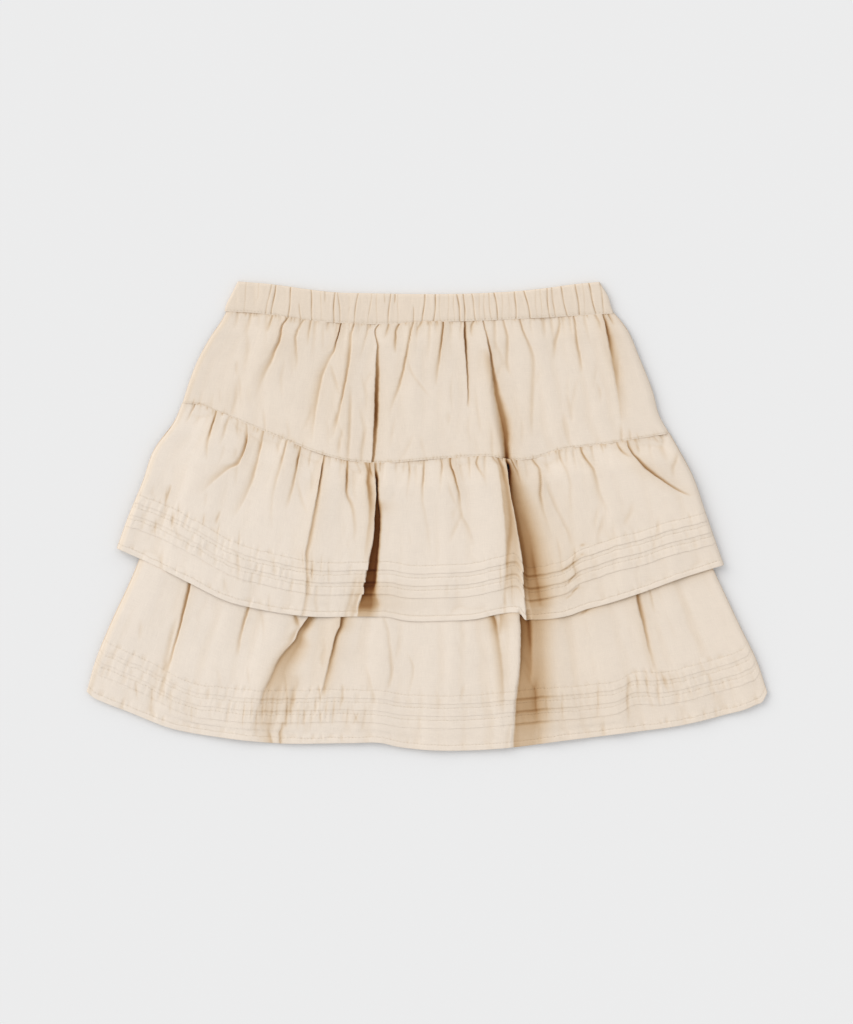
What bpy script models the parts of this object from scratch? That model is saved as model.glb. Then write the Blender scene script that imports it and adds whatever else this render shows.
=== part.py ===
"""Tiered ruffle skirt, laid flat on its back with its front up.

Metres, +Z up. The skirt lies on z = 0, its waist towards +Y and its hem towards -Y, and the middle of
its outline is at x = 0, y = 0. Tables are in millimetres: x and y in plan, heights above the floor.

From the waist down: an elastic casing, a plain upper tier, and two ruffles that hang from one seam.
The short ruffle lies over the long one, and each has three pin tucks above its hem. Every tier is a
front and a back panel. A front panel is a wall with its folds; a back panel is a wall whose underside
is flat on the floor, with creases pressed into it.
"""

from collections import namedtuple

import bpy
import numpy as np

MM = 0.001

# Walls and clearances, millimetres
CLOTH = 1.2          # wall of a front panel
UNDER_CLOTH = 1.4    # wall of the long ruffle's back, which lies over the short one's
FLOOR_CLOTH = 1.8    # wall of a panel that rests on the floor
CASING = 2.6         # waistband, folded cloth with its elastic
CASING_EDGE = 1.5    # waistband where its long edges are rolled
SEAM = 0.3           # between pieces that are sewn to each other or lie on each other
DRAPE = 0.7          # between a folded ruffle and the one below it
STEEP_WALL = 2.2     # most that a wall is deepened where it stands on edge

# Heights of the outer face above the floor, millimetres
UPPER_TOP = 4.7      # upper tier at the waistband
UPPER_PUFF = 7.0     # upper tier between its seams
TIER_SEAM = 6.9      # all fronts at the seam that carries the ruffles
MIDDLE_PUFF = 10.2   # short ruffle, halfway down
MIDDLE_HEM = 8.6     # short ruffle along its hem
LOWER_HIDDEN = 5.1   # long ruffle under the short one
LOWER_PUFF = 7.2     # long ruffle, where it shows
LOWER_HEM = 4.2      # long ruffle along its hem
SIDE_FALL = 7.0      # width over which a front comes down to its side edge
LEAST_WALL_ROOM = 0.1    # kept above the lowest place that a front may come down to

# Lengths down the panel over which a face eases from one height to the next, millimetres
WAIST_EASE = 24.0        # upper tier, below the waistband
TIER_EASE = 22.0         # upper tier, above the tier seam
RUFFLE_EASE = 32.0       # short ruffle, below the tier seam
MIDDLE_HEM_EASE = 50.0   # short ruffle, above its hem
LOWER_HEM_EASE = 60.0    # long ruffle, above its hem
SHOW_FROM, SHOW_EASE = 30.0, 36.0    # long ruffle, from this far above the short hem
DROP_TO, DROP_EASE = 13.0, 11.0      # long ruffle's back, down to the floor this far past the short hem
HEAD_EASE = 6.0          # a fold, at its upper end
RIDGE_REACH = 3.0        # least reach of the ridge beside a fold

# Pin tucks and hems, millimetres above the hem's edge
TUCKS = (22.0, 33.0, 44.0)   # folded edge of each tuck
TUCK_DEPTH = 7.5             # from a tuck's folded edge up to its stitching
TUCK_RISE = 1.0              # how far a tuck stands proud of the panel
HEM_DEPTH = 5.0              # turned hem
HEM_RISE = 0.5
STEP = 0.4                   # half the width of a step in the surface
CASING_ROLL = 3.0            # how far in from its edges the waistband is rolled
BACK_CASING_PRESS = 0.6      # depth of the creases in the waistband's underside

# Gathers along the top of each panel, millimetres
GATHER_RISE = 0.6
CASING_GATHER_RISE = 0.35
GATHER_LENGTH = (9.0, 26.0)  # shortest and longest
SEED = 7

# Grid, millimetres
FRONT_SPACING = 10.5         # between columns of a front, away from its main folds
FLOOR_SPACING = 26.0         # between columns of a back
CASING_SPACING = 5.0
LEAST_SPACING = 1.0          # between any two columns
SCAN_STEPS = 600             # stations across a row in which a crease is looked for
RIM_COLUMNS = (0.0, 1.0, 3.0, SIDE_FALL)     # columns this far in from each side edge
WIDE_FLANK, HALFWAY = 8.5, 0.45              # a flank this wide gets one more column, this far out

CREAM = (0.80, 0.73, 0.64, 1.0)
DEEP_CREAM = (0.74, 0.66, 0.57, 1.0)

# Plan outline, (x, y) along each line from left to right
WAIST_EDGE = ((-170, 211), (-140, 208.5), (-105, 203.7), (-80, 201), (-60, 200.5), (50, 200.5),
              (78, 202), (107, 205), (133, 208.5), (155, 210.5))
WAIST_SEAM = ((-182, 184), (-150, 182), (-110, 175.8), (-80, 173.5), (-40, 172.2), (0, 174),
              (50, 175.6), (100, 178), (168, 182))
TIER_LINE = ((-220, 101), (-208, 100.5), (-190, 94), (-163, 83), (-127, 68), (-93, 55), (-70, 49.5),
             (-40, 47.5), (0, 50.5), (35, 53), (58, 53.5), (72, 50.5), (95, 51.5), (119, 59),
             (157, 64), (190, 69.5), (218, 74))
BACK_TIER_LINE = ((-220, 101), (-110, 64), (0, 50), (110, 55), (218, 74))
MIDDLE_HEM_LINE = ((-279, -29), (-250, -42), (-212, -61), (-180, -76.5), (-150, -84), (-110, -90),
                   (-50, -90.5), (-22, -93), (15, -94.3), (45, -92.5), (66, -88), (82, -87),
                   (90, -93.5), (110, -93.5), (133, -88), (160, -79.5), (190, -70), (230, -55.5),
                   (267, -44))
LOWER_HEM_LINE = ((-306, -158), (-298, -166.5), (-270, -176), (-230, -191), (-190, -198.5),
                  (-132, -204.5), (-45, -205), (-12, -209.4), (40, -210.8), (78, -208), (120, -202.5),
                  (180, -195), (230, -188), (265, -179.5), (298, -167.5), (306, -158.5))

# Side edges, (y, x) from the bottom up
CASING_SIDES = (((184, -182), (190, -180.5), (200, -175.5), (211, -170)),
                ((182, 168), (187, 166), (197, 163), (210.5, 155)))
UPPER_SIDES = (((101, -220), (120, -214), (140, -206), (160, -195), (178, -183), (184, -180)),
               ((74, 218), (90, 209), (110, 203.5), (142, 191), (170, 178), (182, 168)))
MIDDLE_SIDES = (((-29, -279), (0, -268.5), (30, -256), (60, -245), (85, -227), (101, -220)),
                ((-44, 267), (-30, 262), (0, 251.5), (40, 237), (60, 226), (74, 218)))
LOWER_SIDES = (((-158, -306), (-130, -298), (-98, -285), (-55, -265), (-38, -258), (40, -230), (98, -206)),
               ((-158.5, 306), (-130, 296.5), (-98, 281), (-65, 265.5), (-48, 257.5), (10, 232), (72, 206)))

# One row for each fold: where it starts, its x halfway down and where it ends; its depth; how far its
# left and right flanks reach; the length over which it dies out; the ridge beside its steeper flank.
Fold = namedtuple("Fold", "x_top y_top x_mid x_low y_low depth left right tail ridge")

CASING_FOLDS = (
    Fold(-136, 210, -138, -140, 180, 1.0, 2.4, 2.0, 6, 0.2),
    Fold(-122, 208, -123.5, -125, 178, 0.9, 2.0, 2.4, 6, 0.2),
    Fold(-104.5, 205, -104, -103, 176, 0.9, 2.0, 2.0, 6, 0.2),
    Fold(-83, 202, -83.5, -84, 173, 1.0, 2.4, 2.0, 6, 0.2),
    Fold(-62, 201, -64, -66, 173, 0.7, 2.2, 2.2, 8, 0.1),
    Fold(-33, 201, -34, -35, 172, 0.8, 2.2, 2.0, 8, 0.1),
    Fold(-13, 190, -12.5, -12, 173, 0.8, 2.0, 2.0, 4, 0.1),
    Fold(-2, 201, -3, -4, 173, 1.0, 2.0, 2.4, 6, 0.2),
    Fold(8, 201, 7, 6, 174, 0.9, 2.4, 2.0, 6, 0.2),
    Fold(27, 201, 28.5, 30, 175, 1.0, 2.0, 2.4, 6, 0.2),
    Fold(40, 201, 42, 44, 175, 0.7, 2.2, 2.2, 8, 0.1),
    Fold(60.5, 202, 62, 64, 176, 1.0, 2.0, 2.4, 6, 0.2),
    Fold(79, 203, 79.5, 80, 177, 0.9, 2.0, 2.0, 6, 0.2),
    Fold(87.5, 204, 90, 93, 178, 1.0, 2.0, 2.4, 6, 0.2),
    Fold(107.5, 206, 108.5, 110, 178, 0.9, 2.2, 2.0, 6, 0.2),
    Fold(120, 207, 123, 126, 179, 0.9, 2.0, 2.4, 6, 0.2),
    Fold(133.5, 209, 135, 137, 180, 1.0, 2.0, 2.4, 6, 0.2),
    Fold(145, 210, 148.5, 152, 181, 1.0, 2.0, 2.4, 6, 0.2),
)
UPPER_FOLDS = (
    Fold(-138, 180, -141, -144, 166, 1.4, 3.5, 2.5, 6, 0.2),
    Fold(-124, 179, -149, -162, 80, 2.6, 9.0, 2.2, 40, 0.8),
    Fold(-110, 177, -117.5, -119, 130, 1.8, 6.0, 2.5, 18, 0.4),
    Fold(-76.5, 175, -93, -105, 82, 2.8, 10.0, 2.2, 35, 1.0),
    Fold(-65, 174, -73, -83, 80, 1.9, 7.0, 2.5, 30, 0.4),
    Fold(-45, 174, -45, -49, 48, 3.4, 2.2, 12.0, 6, 1.6),
    Fold(-25, 173, -28, -29, 148, 1.7, 3.0, 2.5, 10, 0.3),
    Fold(-12.5, 174, -20, -31, 100, 1.9, 5.0, 2.5, 30, 0.4),
    Fold(15, 176, 12, 8, 118, 2.0, 6.0, 2.2, 25, 0.5),
    Fold(34, 177, 36, 37, 102, 2.9, 2.2, 4.0, 14, 0.6),
    Fold(50, 177, 62, 72, 48, 3.4, 2.2, 13.0, 6, 1.8),
    Fold(67, 178, 72.5, 74, 128, 1.3, 4.0, 5.0, 18, 0.2),
    Fold(83, 178, 95, 93, 100, 1.8, 3.0, 7.0, 35, 0.4),
    Fold(118, 180, 115.5, 114, 138, 1.3, 5.0, 4.0, 15, 0.2),
    Fold(131, 181, 134.5, 138, 133, 1.9, 2.5, 7.0, 18, 0.4),
    Fold(158, 182, 168.5, 176, 100, 2.8, 2.2, 9.0, 35, 0.9),
)
MIDDLE_FOLDS = (
    Fold(-189, 94, -196, -197, 54, 2.1, 5.0, 3.0, 18, 0.4),
    Fold(-163, 84, -165, -204, 22, 3.2, 11.0, 2.4, 20, 1.2),
    Fold(-147, 78, -154.5, -172, 5, 2.8, 9.0, 2.4, 25, 0.8),
    Fold(-126, 70, -134.5, -139, 8, 1.9, 7.0, 3.0, 25, 0.4),
    Fold(-114.5, 64, -119.5, -126, 12, 1.9, 6.0, 3.0, 20, 0.4),
    Fold(-92.5, 57, -104.5, -110, -80, 3.6, 2.4, 12.0, 42, 2.0),
    Fold(-71.5, 52, -70.5, -66, -20, 2.6, 3.0, 7.0, 30, 0.7),
    Fold(-57, 50, -50.3, -50, -44, 1.8, 4.0, 3.0, 25, 0.2),
    Fold(-46, 50, -48.5, -62, -92, 3.7, 2.6, 14.0, 8, 2.8),
    Fold(-3, 52, -3, -4, 18, 1.8, 3.0, 4.0, 15, 0.3),
    Fold(20, 53, 27.5, 33, -3, 2.3, 2.6, 6.0, 28, 0.6),
    Fold(63, 56, 70, 67, -86, 1.7, 7.0, 4.0, 10, 0.2),
    Fold(70, 53, 84, 89, -95, 3.7, 2.6, 18.0, 4, 2.8),
    Fold(93, 54, 101.5, 108, -8, 2.3, 3.0, 7.0, 28, 0.5),
    Fold(119, 63, 126, 128, 13, 1.8, 3.0, 5.0, 15, 0.3),
    Fold(138, 64, 151, 163, 8, 2.1, 3.0, 7.0, 25, 0.4),
    Fold(178, 70, 198.5, 235, 18, 3.3, 2.4, 12.0, 18, 1.5),
    Fold(118, -2, 131, 134, -70, 1.2, 5.0, 5.0, 12, 0.2),
)
LOWER_FOLDS = (
    Fold(-213, -63, -225, -238, -168, 3.2, 11.0, 2.4, 22, 1.4),
    Fold(-161, -84, -166, -171, -128, 2.2, 6.0, 3.0, 24, 0.6),
    Fold(-108, -92, -126, -145, -156, 3.4, 2.4, 15.0, 12, 1.8),
    Fold(-77.5, -92, -85, -93, -158, 2.9, 2.6, 10.0, 24, 1.0),
    Fold(-38, -93, -31.5, -38, -156, 1.2, 8.0, 8.0, 25, 0.0),
    Fold(-127, -147, -129, -132, -206, 1.4, 5.0, 3.0, 6, 0.3),
    Fold(57, -92, 63, 68, -168, 2.0, 9.0, 8.0, 25, 0.3),
    Fold(83.5, -92, 84.5, 77.5, -209, 3.4, 2.6, 15.0, 26, 2.0),
    Fold(188, -73, 198, 214, -152, 2.9, 3.0, 9.0, 40, 1.0),
)

# Creases that the floor has pressed into the back: the depth is into the wall.
UPPER_BACK_FOLDS = (
    Fold(-108, 178, -124, -136, 70, 0.7, 8.0, 4.0, 35, 0.0),
    Fold(-22, 174, -14, -20, 60, 0.8, 4.0, 9.0, 30, 0.0),
    Fold(64, 177, 74, 84, 56, 0.8, 9.0, 4.0, 25, 0.0),
    Fold(128, 180, 148, 158, 84, 0.6, 4.0, 8.0, 30, 0.0),
)
MIDDLE_BACK_FOLDS = (
    Fold(-160, 84, -178, -204, -52, 0.7, 9.0, 4.0, 50, 0.0),
    Fold(-84, 54, -98, -104, -88, 0.8, 4.0, 10.0, 30, 0.0),
    Fold(10, 52, 2, 8, -90, 0.8, 10.0, 4.0, 20, 0.0),
    Fold(92, 52, 112, 118, -88, 0.7, 4.0, 10.0, 40, 0.0),
    Fold(172, 66, 204, 226, -50, 0.7, 9.0, 4.0, 45, 0.0),
)
LOWER_BACK_FOLDS = (
    Fold(-206, -66, -224, -236, -184, 0.7, 9.0, 4.0, 30, 0.0),
    Fold(-62, -98, -74, -88, -200, 0.8, 4.0, 10.0, 30, 0.0),
    Fold(70, -98, 60, 62, -200, 0.8, 10.0, 4.0, 30, 0.0),
    Fold(196, -74, 210, 222, -186, 0.7, 4.0, 9.0, 30, 0.0),
)


def smooth_step(value):
    """0 below 0, 1 above 1, and an S curve between them."""
    inside = np.clip(value, 0.0, 1.0)
    return inside * inside * (3.0 - 2.0 * inside)


def blend(start, end, share):
    return start + (end - start) * share


def smooth_line(rows):
    """Smooth curve through (station, value) rows, straight past its two ends."""
    knots, values = np.array(rows, float).T
    spans = np.diff(knots)
    rises = np.diff(values) / spans
    inner = (rises[:-1] * spans[1:] + rises[1:] * spans[:-1]) / (spans[1:] + spans[:-1])
    slopes = np.concatenate((rises[:1], inner, rises[-1:]))

    def value_at(station):
        station = np.asarray(station, float)
        k = np.clip(np.searchsorted(knots, station) - 1, 0, len(spans) - 1)
        f = np.clip((station - knots[k]) / spans[k], 0.0, 1.0)
        cubic = ((1 + 2 * f) * (1 - f) ** 2 * values[k] + f * f * (3 - 2 * f) * values[k + 1]
                 + spans[k] * f * (1 - f) * ((1 - f) * slopes[k] - f * slopes[k + 1]))
        past = station - np.clip(station, knots[0], knots[-1])
        return cubic + past * np.where(past < 0, slopes[0], slopes[-1])

    return value_at


waist_edge = smooth_line(WAIST_EDGE)
waist_seam = smooth_line(WAIST_SEAM)
tier_line = smooth_line(TIER_LINE)
back_tier_line = smooth_line(BACK_TIER_LINE)
middle_hem = smooth_line(MIDDLE_HEM_LINE)
lower_hem = smooth_line(LOWER_HEM_LINE)


def fold_x(fold, y):
    """x of a fold's crease at height y in plan: a parabola through its three places."""
    down = (fold.y_top - y) / (fold.y_top - fold.y_low)
    bow = fold.x_mid - 0.5 * (fold.x_top + fold.x_low)
    return blend(fold.x_top, fold.x_low, down) + 4.0 * bow * down * (1.0 - down)


def fold_relief(folds, x, y):
    """Height that the folds add to a panel at x, y: troughs below it, ridges above it."""
    relief = np.zeros(np.broadcast(x, y).shape)
    for fold in folds:
        aside = x - fold_x(fold, np.clip(y, fold.y_low, fold.y_top))
        trough = 1.0 - smooth_step(np.where(aside < 0, -aside / fold.left, aside / fold.right))
        steep_is_left = fold.left < fold.right
        from_crease = -aside if steep_is_left else aside
        steep_width = min(fold.left, fold.right)
        ridge_width = RIDGE_REACH + 2.5 * steep_width
        ridge = smooth_step(from_crease / steep_width) * np.exp(-(from_crease / ridge_width) ** 2)
        head = smooth_step((fold.y_top - y) / HEAD_EASE + 0.5)
        tail = smooth_step((y - fold.y_low) / fold.tail)
        relief += (fold.ridge * ridge - fold.depth * trough) * head * tail
    return relief


class Panel:
    """One cut piece as a grid in plan, between a top line, a hem line and two side edges.

    A row is a share of the way down its columns: 0 to 1 from the top line to the knee, 1 to 2 from there
    to the hem area, whose rows are distances above the hem. Without a knee the first share runs all the
    way. Columns follow every fold that is at least guide_depth deep.
    """

    def __init__(self, top, hem, sides, folds, spacing, guide_depth, shares, hem_rows=(0.0,), knee=None,
                 gaps=(0.0, 0.0)):
        self.top, self.hem, self.knee = top, hem, knee
        self.left, self.right = (smooth_line(side) for side in sides)
        self.low_ends = [side[0] for side in sides]
        self.high_ends = [side[-1] for side in sides]
        self.folds, self.spacing, self.guide_depth = folds, spacing, guide_depth
        self.shares = np.array(shares)[:, None]
        self.hem_rows = np.array(hem_rows)[:, None]
        self.row_count = len(shares) + len(hem_rows)
        self.top_gap, self.hem_gap = gaps
        across = self._columns()
        down = self._rows(across)
        self.x, self.y = self._plan(across, down)
        self.above_hem = (1.0 - down) * self._ends(across)[-1]
        self.below_top = down * self._ends(across)[-1]
        self.from_side = np.minimum(self.x - self.left(self.y), self.right(self.y) - self.x)

    def _ends(self, across):
        """A column's y on the top line, its y on the hem and its length."""
        (_, x_low_left), (_, x_low_right) = self.low_ends
        (_, x_top_left), (_, x_top_right) = self.high_ends
        x_top = blend(x_top_left, x_top_right, across)
        x_low = blend(x_low_left, x_low_right, across)
        y_top = self.top(x_top) - self.top_gap
        y_low = self.hem(x_low) + self.hem_gap
        return y_top, y_low, np.hypot(x_low - x_top, y_low - y_top)

    def _plan(self, across, down):
        """x and y at a share of the way across and down."""
        y_top, y_low, _ = self._ends(across)
        y_left, y_right = (blend(high[0], low[0], down)
                           for high, low in zip(self.high_ends, self.low_ends))
        return blend(self.left(y_left), self.right(y_right), across), blend(y_top, y_low, down)

    def _rows(self, across):
        """Share of the way down for every row and column."""
        across = np.broadcast_to(across, (self.row_count, across.shape[-1]))
        y_top, y_low, length = self._ends(across)
        hem_start = 1.0 - self.hem_rows[0] / length
        knee = hem_start
        if self.knee:
            for _ in range(4):
                x, _ = self._plan(across, knee)
                knee = (y_top - self.knee(x)) / (y_top - y_low)
        plain = slice(0, len(self.shares))
        above = np.minimum(self.shares, 1.0) * knee[plain]
        below = np.maximum(self.shares - 1.0, 0.0) * (hem_start - knee)[plain]
        return np.vstack((above + below, 1.0 - self.hem_rows / length[len(self.shares):]))

    def _crease(self, fold, scan, x, y):
        """Share of the way across at which a fold's crease meets each row, held past its ends."""
        meets, level = [], []
        for x_row, y_row in zip(x, y):
            meets.append(np.interp(0.0, x_row - fold_x(fold, np.clip(y_row, fold.y_low, fold.y_top)), scan))
            level.append(np.interp(meets[-1], scan, y_row))
        inside = [row for row, y_met in enumerate(level) if fold.y_low <= y_met <= fold.y_top]
        if not inside:
            return None
        return np.interp(range(self.row_count), inside, np.array(meets)[inside])

    def _columns(self):
        """Share of the way across for every row and column."""
        scan = np.linspace(0.0, 1.0, SCAN_STEPS)
        x, y = self._plan(scan, self._rows(scan))
        width = x[:, -1] - x[:, 0]
        rim = [np.full(self.row_count, inset) / width for inset in RIM_COLUMNS]
        anchors = rim + [1.0 - inset for inset in rim]
        for fold in self.folds:
            crease = self._crease(fold, scan, x, y) if fold.depth >= self.guide_depth else None
            if crease is None:
                continue
            halfway = [flank * HALFWAY for flank in (-fold.left, fold.right) if abs(flank) > WIDE_FLANK]
            for aside in (-fold.left, 0.0, fold.right, *halfway):
                anchors.append(crease + aside / width)
        anchors.sort(key=np.mean)
        lines = np.array(anchors)
        least = LEAST_SPACING / width
        for line in range(1, len(lines)):
            lines[line] = np.maximum(lines[line], lines[line - 1] + least)
        lines[-1] = 1.0
        for line in range(len(lines) - 2, -1, -1):
            lines[line] = np.minimum(lines[line], lines[line + 1] - least)
        columns = []
        for start, end in zip(lines, lines[1:]):
            parts = int(max((end - start) * width) / self.spacing) + 1
            columns += [blend(start, end, part / parts) for part in range(parts)]
        return np.array(columns + [lines[-1]]).T


def tucked_rows():
    """Heights above the hem for the rows of a ruffle's tucks and turned hem, from the top down."""
    rows = []
    for edge in reversed(TUCKS):
        rows += [edge + TUCK_DEPTH, edge + STEP, edge - STEP]
    return (*rows, HEM_DEPTH + STEP, HEM_DEPTH - STEP, 0.0)


def tuck_relief(above_hem):
    """What the tucks and the turned hem add to a ruffle's outer face."""
    rise = np.where(above_hem < HEM_DEPTH, HEM_RISE, 0.0)
    for edge in TUCKS:
        up = (above_hem - edge) / TUCK_DEPTH
        rise += np.where((up > 0.0) & (up < 1.0), TUCK_RISE * (1.0 - up), 0.0)
    return rise


def gathers(panel, rise, random):
    """Small ridges and hollows that run down from the top seam, one for each two columns."""
    columns = panel.x.shape[1]
    size = rise * random.uniform(0.35, 1.0, columns) * np.where(np.arange(columns) % 2, 1.0, -1.0)
    room = np.min(np.diff(panel.x, axis=1), axis=0)
    size[1:-1] *= np.clip(np.minimum(room[:-1], room[1:]) / (0.5 * panel.spacing), 0.0, 1.0) ** 2
    size[:2] = size[-2:] = 0.0
    reach = random.uniform(*GATHER_LENGTH, columns)
    return size * np.exp(-(panel.below_top / reach) ** 2)


def stand_off(panel, high, under):
    """Inner face of a wall: below the outer one, deeper where it is steep, clear of what lies under it."""
    slope = np.gradient(high, axis=1) / np.gradient(panel.x, axis=1)
    wall = np.minimum(CLOTH * np.hypot(1.0, slope), STEEP_WALL)
    return np.maximum(high - wall, under + SEAM)


# Heights of the faces, by place in plan

def floor_low(x, y):
    return np.zeros_like(x)


def floor_high(x, y):
    return np.full_like(x, FLOOR_CLOTH)


def over_short_back(x, y):
    """1 where the long ruffle's back lies over the short one's, 0 where it has come down to the floor."""
    return smooth_step((y - middle_hem(x) + DROP_TO) / DROP_EASE)


def lower_back_low(x, y):
    return (FLOOR_CLOTH + SEAM) * over_short_back(x, y)


def lower_back_high(x, y):
    return lower_back_low(x, y) + blend(FLOOR_CLOTH, UNDER_CLOTH, over_short_back(x, y))


def round_up(edge, inner, share):
    """Quarter round from an edge's height up to the height further in, which it reaches at share 1."""
    return blend(edge, inner, np.sqrt(1.0 - (1.0 - np.clip(share, 0.0, 1.0)) ** 2))


def upper_height(x, y, from_side):
    at_waist = 1.0 - smooth_step((waist_seam(x) - y) / WAIST_EASE)
    at_seam = 1.0 - smooth_step((y - tier_line(x)) / TIER_EASE)
    height = UPPER_PUFF + (UPPER_TOP - UPPER_PUFF) * at_waist + (TIER_SEAM - UPPER_PUFF) * at_seam
    lowest = FLOOR_CLOTH + SEAM + CLOTH
    height = round_up(lowest, height + fold_relief(UPPER_FOLDS, x, y), from_side / SIDE_FALL)
    return np.maximum(height, lowest + LEAST_WALL_ROOM)


def lower_height(x, y, from_side):
    shows = smooth_step((middle_hem(x) + SHOW_FROM - y) / SHOW_EASE)
    above_hem = smooth_step((y - lower_hem(x)) / LOWER_HEM_EASE)
    height = blend(LOWER_HEM, blend(LOWER_HIDDEN, LOWER_PUFF, shows), above_hem)
    lowest = lower_back_high(x, y) + SEAM + CLOTH
    height = round_up(lowest, height + fold_relief(LOWER_FOLDS, x, y) * shows, from_side / SIDE_FALL)
    return np.maximum(height, lowest + LEAST_WALL_ROOM)


def middle_height(x, y, from_side):
    below_seam = smooth_step((tier_line(x) - y) / RUFFLE_EASE)
    above_hem = smooth_step((y - middle_hem(x)) / MIDDLE_HEM_EASE)
    height = blend(blend(MIDDLE_HEM, MIDDLE_PUFF, above_hem), TIER_SEAM, 1.0 - below_seam)
    height += fold_relief(MIDDLE_FOLDS, x, y)
    height = round_up(FLOOR_CLOTH + SEAM + CLOTH, height, from_side / SIDE_FALL)
    return np.maximum(height, middle_rest(x, y) + CLOTH)


def middle_rest(x, y):
    """Lowest that the short ruffle may lie: on the long one, or on its own back beside that."""
    left, right = (smooth_line(side)(y) for side in LOWER_SIDES)
    inside = np.minimum(x - left, right - x)
    on_ruffle = inside > -RIDGE_REACH
    return np.where(on_ruffle, lower_height(x, y, np.maximum(inside, 0.0)) + DRAPE, FLOOR_CLOTH + SEAM)


def under_middle(x, y):
    return middle_rest(x, y) - SEAM


# Pieces

def add_piece(name, panel, high, low, high_rows, low_rows, colour):
    """Closed wall between an upper face and a lower face, each with its own choice of rows."""
    columns = panel.x.shape[1]
    vertices, faces = [], []
    first = {}
    for face, rows, z in (("high", high_rows, high), ("low", low_rows, low)):
        for row in rows:
            first[face, row] = len(vertices)
            vertices += zip(panel.x[row] * MM, panel.y[row] * MM, z[row] * MM)
    for face, rows in (("high", high_rows), ("low", low_rows)):
        for up, down in zip(rows, rows[1:]):
            a, b = first[face, up], first[face, down]
            for column in range(columns - 1):
                quad = (a + column, b + column, b + column + 1, a + column + 1)
                faces.append(quad if face == "high" else quad[::-1])
    for row, turn in ((high_rows[0], 1), (high_rows[-1], -1)):
        a, b = first["high", row], first["low", row]
        for column in range(columns - 1):
            faces.append((a + column, a + column + 1, b + column + 1, b + column)[::turn])
    for column, turn in ((0, 1), (columns - 1, -1)):
        i = j = 0
        while i < len(high_rows) - 1 or j < len(low_rows) - 1:
            a, b = first["high", high_rows[i]] + column, first["low", low_rows[j]] + column
            step_high = j == len(low_rows) - 1 or (i < len(high_rows) - 1
                                                   and high_rows[i + 1] <= low_rows[j + 1])
            if step_high:
                i += 1
                faces.append((a, b, first["high", high_rows[i]] + column)[::turn])
            else:
                j += 1
                faces.append((a, b, first["low", low_rows[j]] + column)[::turn])
    mesh = bpy.data.meshes.new(name)
    mesh.from_pydata([tuple(map(float, vertex)) for vertex in vertices], [], faces)
    mesh.materials.append(cloth_material(name, colour))
    mesh.shade_smooth()
    mesh.set_sharp_from_angle(angle=0.7)
    piece = bpy.data.objects.new(name, mesh)
    bpy.context.collection.objects.link(piece)
    return piece


def cloth_material(name, colour):
    material = bpy.data.materials.new(name)
    material.use_nodes = True
    shader = material.node_tree.nodes["Principled BSDF"]
    shader.inputs["Base Color"].default_value = colour
    shader.inputs["Roughness"].default_value = 0.9
    shader.inputs["Metallic"].default_value = 0.0
    return material


def plain_face_rows(panel):
    """Rows enough for a face without tucks: every other plain row, and every third of the hem area."""
    plain = len(panel.shares)
    rows = {*range(0, plain, 2), *range(plain, panel.row_count, 3), panel.row_count - 1}
    return sorted(rows)


def add_front(name, panel, height, under, random, colour):
    """Front of a tier: folds in both faces, tucks and the turned hem in the outer one."""
    smooth = height(panel.x, panel.y, panel.from_side) + gathers(panel, GATHER_RISE, random)
    inner = stand_off(panel, smooth, under(panel.x, panel.y))
    smooth = np.maximum(smooth, inner + CLOTH)
    tucks = tuck_relief(panel.above_hem) if len(panel.hem_rows) > 1 else 0.0
    all_rows = list(range(panel.row_count))
    return add_piece(name, panel, smooth + tucks, inner, all_rows, plain_face_rows(panel), colour)


def add_back(name, panel, low, high, colour):
    """Back of a tier: a plain inner face over an underside with its creases pressed in."""
    pressed = low(panel.x, panel.y) - fold_relief(panel.folds, panel.x, panel.y)
    all_rows = list(range(panel.row_count))
    return add_piece(name, panel, high(panel.x, panel.y), pressed, plain_face_rows(panel), all_rows, colour)


def add_casings(random):
    """Waistband: two flat casings, joined at the sides, with the gathers of their elastic."""
    sides = CASING_SIDES
    shares = (0.0, 0.04, 0.1, 0.5, 0.9, 0.96)
    front = Panel(waist_edge, waist_seam, sides, CASING_FOLDS, CASING_SPACING, 0.5, shares,
                  gaps=(0.0, 0.5 * SEAM))
    from_edge = np.minimum(np.minimum(front.below_top, front.above_hem), front.from_side)
    ripple = fold_relief(CASING_FOLDS, front.x, front.y) + gathers(front, CASING_GATHER_RISE, random)
    base = CASING + SEAM
    high = base + round_up(CASING_EDGE, CASING + ripple, from_edge / CASING_ROLL)
    add_piece("waistband_front", front, high, np.full_like(high, base), list(range(front.row_count)),
              [0, front.row_count - 1], DEEP_CREAM)
    back = Panel(waist_edge, waist_seam, sides, CASING_FOLDS[::3], 2.0 * CASING_SPACING, 0.5, shares,
                 gaps=(0.0, 0.5 * SEAM))
    pressed = [fold._replace(depth=BACK_CASING_PRESS, ridge=0.0) for fold in back.folds]
    add_piece("waistband_back", back, np.full_like(back.x, CASING), -fold_relief(pressed, back.x, back.y),
              [0, back.row_count - 1], list(range(back.row_count)), DEEP_CREAM)


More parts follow.
